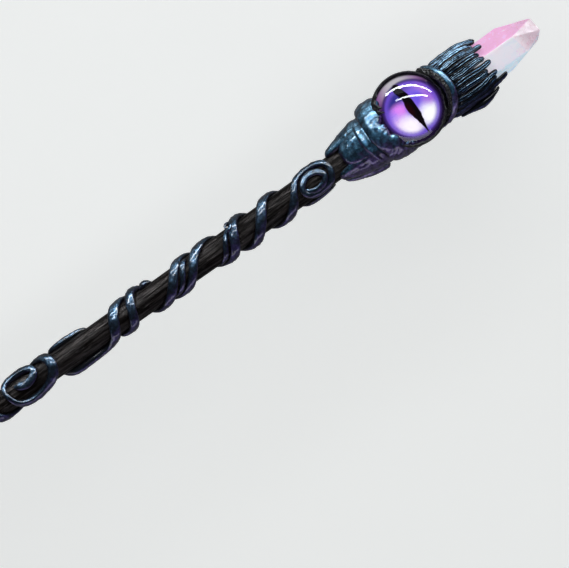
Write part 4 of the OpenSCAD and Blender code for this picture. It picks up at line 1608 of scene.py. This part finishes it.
@dataclass
class Studio:
    """Floor, lights and camera."""

    eye: tuple[float, float] = EYE
    aim: tuple[float, float] = (209.9, -22.3)  # where the camera looks, millimetres
    tilt: float = 35.35  # degrees that the shaft climbs in the view
    wide: float = 192.3  # millimetres that the view takes in
    lens: float = 500.0
    sensor: float = 36.0
    floor_gap: float = 40.0
    room: tuple[float, float] = (0.05, 0.85)  # how bright the room lights the wand, and looks itself

    def floor(self) -> None:
        """Lays the pale floor under the lowest point."""
        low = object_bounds()[0]
        mesh = bpy.data.meshes.new("floor")
        reach, z = 3.0, low.z - self.floor_gap * MM
        mesh.from_pydata([(-reach, -reach, z), (reach, -reach, z), (reach, reach, z), (-reach, reach, z)],
                         [], [(0, 1, 2, 3)])
        mesh.materials.append(PlainFinish("floor_card", (0.80, 0.81, 0.80), 0.9, 40.0, 0.52).material())
        floor = bpy.data.objects.new("floor", mesh)
        bpy.context.scene.collection.objects.link(floor)
        floor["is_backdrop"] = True

    def lamp(self, name: str, azimuth: float, elevation: float, distance: float,
             size: tuple[float, float], power: float, colour: Colour = (1.0, 1.0, 1.0),
             glossy: bool = True, diffuse: bool = True, roll: float = 0.0) -> None:
        """Hangs an area lamp that faces the eye.

        Args:
            name: the lamp's name.
            azimuth: degrees from +X towards +Y.
            elevation: degrees above the floor.
            distance: metres from the eye.
            size: length (level) and width in metres.
            power: watts.
            colour: its colour.
            glossy: whether it shows in reflections.
            diffuse: whether it lights matt surfaces.
            roll: degrees it is turned about the line to the eye.
        """
        data = bpy.data.lights.new(name, "AREA")
        data.shape = "RECTANGLE"
        data.size, data.size_y = size
        data.energy, data.color = power, colour
        lamp = bpy.data.objects.new(name, data)
        a, e = math.radians(azimuth), math.radians(elevation)
        way = Vector((math.cos(a) * math.cos(e), math.sin(a) * math.cos(e), math.sin(e)))
        lamp.location = Vector((self.eye[0] * MM, self.eye[1] * MM, 0.0)) + way * distance
        lamp.rotation_mode = "QUATERNION"
        lamp.rotation_quaternion = Quaternion(way, math.radians(roll)) @ way.to_track_quat("Z", "Y")
        lamp.visible_glossy, lamp.visible_diffuse = glossy, diffuse
        bpy.context.scene.collection.objects.link(lamp)

    def lamps(self) -> None:
        """Hangs a soft overhead light and two long tubes that show in the gloss."""
        up = 90.0 - self.tilt
        self.lamp("overhead", up + 25, 74, 1.4, (2.4, 2.4), 16.0, glossy=False)
        self.lamp("sheen", up + 8, 34, 1.1, (1.8, 0.5), 1.6, (0.85, 0.95, 1.0))
        self.lamp("fill", up + 180, 10, 1.0, (2.2, 0.25), 3.6, (0.88, 0.86, 1.0), diffuse=False)
        self.lamp("tube_low", up + 1, 28.0, 0.9, (2.5, 0.10), 24.0, (0.93, 0.97, 1.0), diffuse=False,
                  roll=4.0)
        self.lamp("tube_high", up - 11, 56, 0.9, (1.5, 0.06), 9.0, (0.93, 0.97, 1.0), diffuse=False,
                  roll=22.0)
        world = bpy.data.worlds.new("room")
        world.use_nodes = True
        back = world.node_tree.nodes["Background"]
        back.inputs["Color"].default_value = (0.86, 0.92, 1.0, 1.0)
        kit = NodeKit(world.node_tree)
        seen = kit.add("ShaderNodeLightPath").outputs["Is Camera Ray"]
        kit.feed(back.inputs["Strength"], kit.span(seen, 0.0, 1.0, *self.room))
        bpy.context.scene.world = world

    def camera(self) -> None:
        """Sets the camera above the wand, looking straight down."""
        data = bpy.data.cameras.new("camera")
        data.lens, data.sensor_width = self.lens, self.sensor
        data.clip_start, data.clip_end = 0.05, 20.0
        camera = bpy.data.objects.new("camera", data)
        distance = self.wide * MM * self.lens / self.sensor
        camera.location = (self.aim[0] * MM, self.aim[1] * MM, distance)
        camera.rotation_euler = (0.0, 0.0, math.radians(-self.tilt))
        bpy.context.scene.collection.objects.link(camera)
        bpy.context.scene.camera = camera

    def build(self) -> None:
        """Sets the stage."""
        self.floor()
        self.lamps()
        self.camera()
        bpy.context.scene.view_settings.view_transform = "Standard"
        LOG.info("floor, lamps and camera")


def dress_cad(frame: dict, node: str, finish: PlainFinish | IrisPrint) -> None:
    """Gives a CAD node its finish.

    Args:
        node: the node's name.
        finish: its finish.
    """
    mesh = frame["nodes"][node].data
    mesh.materials.clear()
    mesh.materials.append(finish.material())
    LOG.info("%s: finish only", node)


def main() -> None:
    logging.basicConfig(level=logging.INFO, format="%(name)s: %(message)s")
    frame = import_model()
    shaft = Shaft()
    shaft.build(StainedWood("stained_wood"))
    # In each mica finish, ice is painted sheen on faces toward the lamps and violet is painted on faces
    # turned away.
    Vines(shaft).build(MicaClay("vine_mica", ice=(0.090, 0.165, 0.260), teal=(0.028, 0.052, 0.088),
                                violet=(0.070, 0.054, 0.185), amount=0.7))
    head = Head()
    # The bezel's pale specks are kept nearly black: little dirt and little painted glint.
    rough = BareClay("bare_clay", dust_and_glint=(0.012, 0.010, 0.012), roughness=0.42, coat=0.2, relief=0.10)
    head.build_core(MicaClay("core_mica", ice=(0.090, 0.165, 0.260), teal=(0.020, 0.040, 0.070),
                             violet=(0.060, 0.045, 0.140), amount=0.45, relief=0.20,
                             crest=(-1.0, 0.0)))
    head.build_leaves(MicaClay("leaf_mica", amount=0.74))
    head.build_strips(MicaClay("lid_mica", amount=0.9), rough)
    # The collar's powder sits only on the top of each ridge: its bright ice crest lines are painted
    # highlight and the bare grooves between are painted shade.
    head.build_collar(MicaClay("collar_mica", ice=(0.300, 0.490, 0.680), teal=(0.024, 0.072, 0.140),
                               violet=(0.030, 0.030, 0.100), amount=0.95, relief=0.04, coat=0.4,
                               gloss=0.05, crest=(0.62, 0.90)))
    eye = Eye()
    eye.build_bezel(rough)
    eye.build_glass(ClearGlass("eye_glass"))
    dress_cad(frame, "iris_print", IrisPrint("iris", (279.2, 1.0)))
    dress_cad(frame, "eye_bed", PlainFinish("bed_clay", (0.012, 0.012, 0.014)))
    CrystalPoint().build(Quartz("quartz"))
    dress_cad(frame, "crystal_adhesive", PlainFinish("set_adhesive", (0.55, 0.52, 0.46), 0.3))

    Studio().build()


if __name__ == "__main__":
    main()
